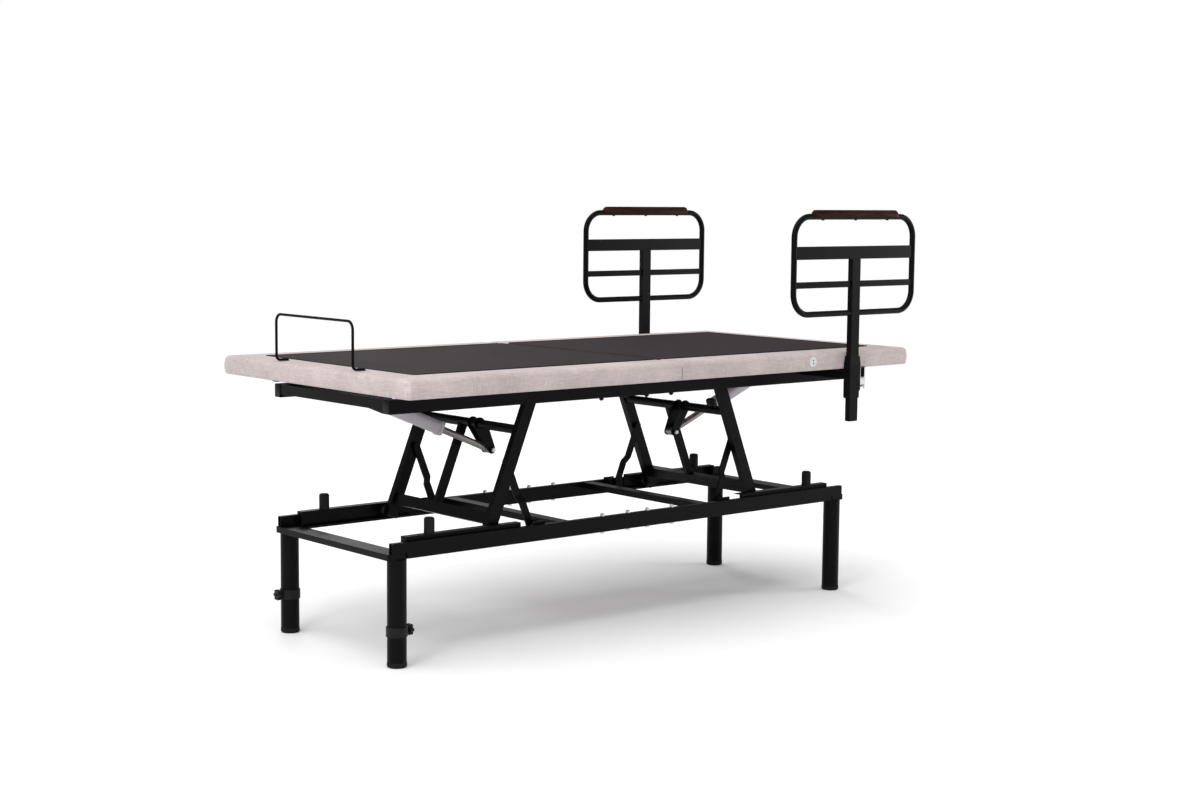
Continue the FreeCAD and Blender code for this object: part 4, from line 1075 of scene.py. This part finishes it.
@dataclass
class AssistRail:
    """Looks of one assist rail: wooden armrest, its screws and the post's plug."""

    side: Side
    chamfer: float = 0.014
    screw_spacing: float = 0.152
    post: tuple[float, float] = (0.037, 0.020)

    def armrest(self) -> bpy.types.Object:
        """Armrest: an arched section carried along X, shrinking over both chamfered ends.

        Returns:
            The object.
        """
        low, high = box_of(f"armrest_cap_{self.side.word}")
        half_y, height = (high[1] - low[1]) / 2, high[2] - low[2]
        centre = (low[1] + high[1]) / 2
        t = np.linspace(0, np.pi, 25)
        power = 2 / 3.2
        arch_y = half_y * np.sign(np.cos(t)) * np.abs(np.cos(t)) ** power
        arch_z = height * np.abs(np.sin(t)) ** power
        base_y = np.linspace(-half_y, half_y, 9)[1:-1]
        section_y = np.concatenate([arch_y, base_y])
        section_z = np.concatenate([arch_z, np.zeros(7)])
        steps = np.linspace(0, 1, 8)
        ease = np.sin(steps * np.pi / 2)
        x = np.concatenate([low[0] + self.chamfer * steps, high[0] - self.chamfer * steps[::-1]])
        lift = np.concatenate([0.30 + 0.70 * ease, 0.30 + 0.70 * ease[::-1]])
        narrow = np.concatenate([0.86 + 0.14 * ease, 0.86 + 0.14 * ease[::-1]])
        ring_x = np.broadcast_to(x[:, None], (len(x), len(section_y)))
        rings = np.stack([ring_x, centre + narrow[:, None] * section_y,
                          low[2] + lift[:, None] * section_z], 2)
        piece = loft(f"armrest_{self.side.word}", rings, 50.0)
        return finish(piece, f"assist_{self.side.word}", "armrest_wood", "armrest_wood",
                      f"armrest_cap_{self.side.word}")

    def screws(self) -> bpy.types.Object:
        """Three pan-head screws under the top tube.

        Returns:
            The object.
        """
        low, high = box_of(f"armrest_cap_{self.side.word}")
        loop_low, loop_high = box_of(f"assist_loop_{self.side.word}")
        under = loop_high[2] - (loop_high[1] - loop_low[1]) + 0.0004
        centre = (low + high) / 2
        heads = []
        for k in (-1, 0, 1):
            at = np.array([centre[0] + k * self.screw_spacing, centre[1], under])
            profile = [(0, 0.0015), (0, 0.0052), (0.0012, 0.0050), (0.0026, 0.0036), (0.0030, 0.001)]
            heads.append(turned(f"screw{k}", at, np.array([0.0, 0.0, -1.0]), profile, 20))
        piece = joined(f"armrest_screws_{self.side.word}", heads)
        return finish(piece, f"assist_{self.side.word}", "black_plastic", "black_plastic")

    def plug(self) -> bpy.types.Object:
        """Plastic plug in the post's lower end.

        Returns:
            The object.
        """
        low, high = box_of(f"assist_bars_{self.side.word}")
        loop_low, loop_high = box_of(f"assist_loop_{self.side.word}")
        foot = np.array([(loop_low[0] + loop_high[0]) / 2, (low[1] + high[1]) / 2, low[2]])
        levels = [(-0.0025, 0.0012), (-0.0015, 0.0), (0.0, 0.0), (0.0, 0.0025), (0.012, 0.0025)]
        piece = stacked(f"post_plug_{self.side.word}", foot, 2, self.post, 0.002, levels)
        return finish(piece, f"assist_{self.side.word}", "black_plastic", "black_plastic")

    def build(self) -> None:
        """Make the rail's pieces."""
        self.armrest()
        self.screws()
        self.plug()


@dataclass
class LiftDrive:
    """Electric actuator under the upper frame: housing, end caps, gear case and motor."""

    word: str
    name: str
    housing_from: float
    width: float
    height: float
    window: float
    motor_side: float
    rear: float
    dark_cap: bool

    @property
    def body(self) -> str:
        """The CAD body that the drive rides on."""
        return f"{self.word}_housing"

    def build(self) -> None:
        """Make the drive's pieces along the line from its rod's pin to its rear pin."""
        pin = np.array(joint_named(f"{self.word}_rod_turn")["pos_m"])
        along = np.array(joint_named(f"{self.word}_rod_stroke")["axis"])
        gear_to = self.rear - self.window - 0.022
        gear_from = gear_to - 0.057

        def at(distance: float, y: float = 0.0) -> Array:
            """Point on the drive's line, moved along Y."""
            return pin + along * distance + AXIS_Y * y

        housing = bar_along(f"{self.name}_housing", at(self.housing_from + 0.012), at(gear_from + 0.001),
                            self.width, self.height, 0.014)
        finish(housing, self.body, "actuator_grey", "actuator_grey", f"{self.word}_lift_motor")
        cap = bar_along(f"{self.name}_front_cap", at(self.housing_from), at(self.housing_from + 0.014),
                        self.width + 0.003, self.height + 0.003, 0.009, 0.002)
        finish(cap, self.body, "black_plastic" if self.dark_cap else "actuator_grey", "actuator_grey")
        gear = bar_along(f"{self.name}_gear_case", at(gear_from), at(gear_to), self.width + 0.010,
                         self.height + 0.010, 0.012, 0.003)
        finish(gear, self.body, "black_plastic", "black_plastic")
        offset = self.motor_side * (self.width / 2 + 0.018)
        profile = [(0, 0.006), (0, 0.0145), (0.0015, 0.0165), (0.004, 0.017), (0.100, 0.017), (0.101, 0.0158),
                   (0.106, 0.0158), (0.107, 0.017), (0.165, 0.017), (0.167, 0.015), (0.167, 0.006)]
        motor = turned(f"{self.name}_motor", at(gear_to - 0.008 - 0.167, offset), along, profile, 36)
        finish(motor, self.body, "black_plastic", "black_plastic")
        bridge = bar_along(f"{self.name}_bridge", at(gear_from + 0.004, offset / 2),
                           at(gear_to - 0.008, offset / 2), abs(offset), self.height - 0.012, 0.006, 0.002)
        finish(bridge, self.body, "black_plastic", "black_plastic")
        self.tongues(at, along, gear_to)

    def tongues(self, at: Callable[..., Array], along: Array, gear_to: float) -> None:
        """Rear eye: a rounded ring round the rear pin's window.

        Args:
            at: point on the drive's line.
            along: the line's direction.
            gear_to: where the gear case ends.
        """
        across = np.cross(along, AXIS_Y)
        half_across = 0.022 if self.window < 0.011 else 0.0125
        middle, reach = self.rear, self.window
        bend = min(reach, half_across) * 0.8
        inner = rounded_rectangle(2 * reach, 2 * half_across, bend, 8)
        outer = rounded_rectangle(2 * reach + 0.010, 2 * half_across + 0.010, bend + 0.004, 8)
        neck = bar_along(f"{self.name}_neck", at(gear_to - 0.002), at(middle - reach - 0.003), 0.014,
                         2 * half_across + 0.008, 0.004)
        rings = []
        for outline, y in ((inner, -0.007), (outer, -0.007), (outer, 0.007), (inner, 0.007)):
            rings.append(at(middle, y) + outline[:, :1] * along + outline[:, 1:] * across)
        points = np.array(rings)
        count = points.shape[1]
        faces = [list(f) for f in grid_faces(4, count, wrap=True)]
        k = np.arange(count)
        faces.extend(np.stack([3 * count + k, 3 * count + (k + 1) % count, (k + 1) % count, k], 1).tolist())
        eye = build_mesh(f"{self.name}_eye", points.reshape(-1, 3), faces, 35.0)
        piece = joined(f"{self.name}_rear_eye", [neck, eye])
        finish(piece, self.body, "black_plastic", "black_plastic")


@dataclass
class FrameTrim:
    """Plugs in the open ends of the frames' tubes."""

    inset: float = 0.0022
    gap: float = 0.0006
    rail: float = 0.030

    def plug(self, name: str, node: str, end: End, side: Side, body: str, depth: tuple[float, float]) -> None:
        """Domed plug on the outer end of a side rail.

        Args:
            name: the piece's name.
            node: the CAD node whose box gives the tube's ends.
            end: which end of the bed.
            side: which long side.
            body: the body it rides on.
            depth: the tube's outer faces in |Y|.
        """
        low, high = box_of(node)
        x = high[0] if end.value > 0 else low[0]
        mouth = np.array([x, side.value * (depth[0] + depth[1]) / 2, (low[2] + high[2]) / 2])
        size = (depth[1] - depth[0] - self.gap, high[2] - low[2] - self.gap)
        outward = ((-0.010, self.inset), (0.0001, self.inset), (0.0001, 0.0), (0.0012, 0.0), (0.0022, 0.0012))
        levels = [(end.value * out, shrink) for out, shrink in outward]
        finish(stacked(name, mouth, 0, size, 0.002, levels), body, "black_plastic", "black_plastic")

    def build(self) -> None:
        """Plug the upper rails' outer ends."""
        for end in End:
            _, high = box_of(f"frame_rails_{end.word}")
            outer = float(high[1])
            for side in Side:
                self.plug(f"rail_plug_{end.word}_{side.word}", f"frame_rails_{end.word}", end, side,
                          "upper_frame", (outer - self.rail, outer))


@dataclass
class PortFace:
    """Pale face, and two flat black pads inside the charging port's ring that paint in the shade of the socket
    holes.
    """

    def build(self) -> None:
        """Make the face: a shallow turned disc with a rim."""
        low, high = box_of("charging_port")
        centre = (low + high) / 2
        radius = (high[0] - low[0]) / 2
        at = np.array([centre[0], low[1] + 0.0006, centre[2]])
        profile = [(0, radius * 0.2), (0, radius * 0.72), (-0.0004, radius * 0.78), (0.004, radius * 0.78),
                   (0.004, radius * 0.2)]
        face = turned("port_face", at, AXIS_Y, profile, 40)
        finish(face, "head_deck", "port_grey", "black_plastic")
        # painted shade: flat black pads stand just in front of the face where the two socket holes are
        for k, height in enumerate((-0.0045, 0.0045)):
            spot = np.array([centre[0], at[1] - 0.0005, centre[2] + height])
            hole = stacked(f"port_socket_{k}", spot, 1, (0.0055, 0.0038), 0.0014, [(0.0, 0.0), (0.002, 0.0)])
            finish(hole, "head_deck", "black_plastic", "black_plastic")


@dataclass
class PinBolts:
    """Plated hexagon heads on the near ends of the lift rods' pins."""

    reach: float = 0.0243
    radius: float = 0.0075

    def build(self) -> None:
        """Make a head at each end, on the axis of the rod's pin."""
        profile = [(0.0, 0.003), (0.0, self.radius), (0.0045, self.radius), (0.0058, self.radius - 0.001),
                   (0.0058, 0.002)]
        for end in End:
            pin = np.array(joint_named(f"{end.word}_rod_turn")["pos_m"])
            head = turned(f"{end.word}_pin_bolt", pin - AXIS_Y * self.reach, -AXIS_Y, profile, 6)
            finish(head, f"{end.word}_leg_frame", "zinc_steel", "zinc_steel")


class CadFinishes:
    """Dresses the CAD nodes that stay, by the record's slots."""

    special = {"charging_port": "port_grey"}

    def build(self) -> None:
        """Give each node the material of its slot."""
        slots = {row["node"]: row["material_slot"] for row in frame["record"]["subparts"]}
        for name, node in frame["nodes"].items():
            node.data.materials.clear()
            node.data.materials.append(PAINT.get(self.special.get(name, slots[name])))


@dataclass
class Studio:
    """Camera, soft lights, pale floor and white surroundings."""

    position: tuple[float, float, float] = (-3.96996, -4.74276, 1.32459)
    heading: float = math.radians(49.507)
    down: float = math.radians(5.987)
    roll: float = math.radians(0.526)
    lens: float = 58.49

    def camera(self) -> None:
        """Place the camera as the photograph's: right, up and backward axes from heading, dip and roll."""
        h, p, r = self.heading, self.down, self.roll
        right = np.array([math.sin(h), -math.cos(h), 0.0])
        ahead = np.array([math.cos(h) * math.cos(p), math.sin(h) * math.cos(p), -math.sin(p)])
        up = np.cross(right, ahead)
        turned_right = right * math.cos(r) + up * math.sin(r)
        turned_up = up * math.cos(r) - right * math.sin(r)
        data = bpy.data.cameras.new("camera")
        data.lens, data.sensor_width = self.lens, 36.0
        data.clip_end = 60.0
        camera = bpy.data.objects.new("camera", data)
        columns = np.column_stack([turned_right, turned_up, -ahead])
        camera.matrix_world = Matrix.Translation(self.position) @ Matrix(columns.tolist()).to_4x4()
        bpy.context.scene.collection.objects.link(camera)
        bpy.context.scene.camera = camera

    def light(self, name: str, place: tuple[float, float, float], size: float, power: float) -> None:
        """Square area light aimed at the bed.

        Args:
            name: the light's name.
            place: its position.
            size: its edge length.
            power: watts.
        """
        data = bpy.data.lights.new(name, "AREA")
        data.shape, data.size, data.energy = "SQUARE", size, power
        lamp = bpy.data.objects.new(name, data)
        lamp.location = place
        lamp.rotation_euler = (Vector((0.0, 0.0, 0.6)) - Vector(place)).to_track_quat("-Z", "Y").to_euler()
        bpy.context.scene.collection.objects.link(lamp)

    def overhead(self) -> None:
        """Wide, very soft light from above and a little from the foot end, even over the whole floor."""
        data = bpy.data.lights.new("overhead", "SUN")
        data.energy, data.angle = 2.4, math.radians(80)
        lamp = bpy.data.objects.new("overhead", data)
        lamp.rotation_euler = Vector((0.34, 0.10, -0.94)).to_track_quat("-Z", "Y").to_euler()
        bpy.context.scene.collection.objects.link(lamp)

    def floor(self) -> None:
        """Pale round floor under the bed."""
        t = np.linspace(0, 2 * np.pi, 96, endpoint=False)
        points = np.column_stack([30 * np.cos(t), 30 * np.sin(t), np.full(96, -0.0006)])
        piece = build_mesh("floor", points, [list(range(96))])
        material, graph, shader, place = new_material("pale_floor")
        cloudy = graph.noise(place.outputs["Object"], 1.5, 3.0, 0.5)
        color = graph.mix(cloudy, opaque((0.92, 0.92, 0.92)), opaque((0.94, 0.94, 0.94)))
        graph.fill(shader, {"Base Color": color, "Roughness": 0.8, "Specular IOR Level": 0.1})
        piece.data.materials.append(material)

    def surroundings(self) -> None:
        """White backdrop that lights the bed less than it shows, as a backdrop lit on its own does."""
        world = bpy.data.worlds.new("studio")
        world.use_nodes = True
        graph = Graph(world.node_tree)
        background = world.node_tree.nodes["Background"]
        background.inputs["Color"].default_value = (1.0, 1.0, 1.0, 1.0)
        path = world.node_tree.nodes.new("ShaderNodeLightPath")
        seen = graph.add("MapRange", {0: path.outputs["Is Camera Ray"], 3: 0.42, 4: 1.0}).outputs[0]
        world.node_tree.links.new(seen, background.inputs["Strength"])
        bpy.context.scene.world = world
        bpy.context.scene.view_settings.view_transform = "Standard"

    def build(self) -> None:
        """Set up camera, lights and floor."""
        self.camera()
        self.surroundings()
        self.overhead()
        self.light("key", (-4.5, -2.0, 3.2), 1.6, 60.0)
        self.light("back", (2.0, 5.0, 3.5), 2.0, 60.0)
        self.light("edge", (4.2, -2.2, 1.4), 0.7, 30.0)
        self.floor()


def drives() -> list[LiftDrive]:
    """The bed's four actuators, with the CAD housings' sizes.

    Returns:
        The drives.
    """
    lift = {"housing_from": 0.194, "width": 0.036, "height": 0.041, "window": 0.0095, "motor_side": 1.0,
            "rear": 0.4899}
    deck = {"housing_from": 0.110, "width": 0.032, "height": 0.034, "window": 0.0125, "rear": 0.3308}
    return [LiftDrive("foot", "foot_lift", dark_cap=False, **lift),
            LiftDrive("head", "head_lift", dark_cap=True, **lift),
            LiftDrive("back", "back_raise", motor_side=-1.0, dark_cap=True, **deck),
            LiftDrive("leg", "leg_raise", motor_side=1.0, dark_cap=True, **deck)]


def main() -> None:
    """Build every piece, then the studio."""
    logging.basicConfig(level=logging.INFO, format="%(message)s")
    CadFinishes().build()
    for end in End:
        UpholsteredHalf(end).build()
    for side in Side:
        AssistRail(side).build()
    for drive in drives():
        drive.build()
    FrameTrim().build()
    PortFace().build()
    PinBolts().build()
    Studio().build()


if __name__ == "__main__":
    main()
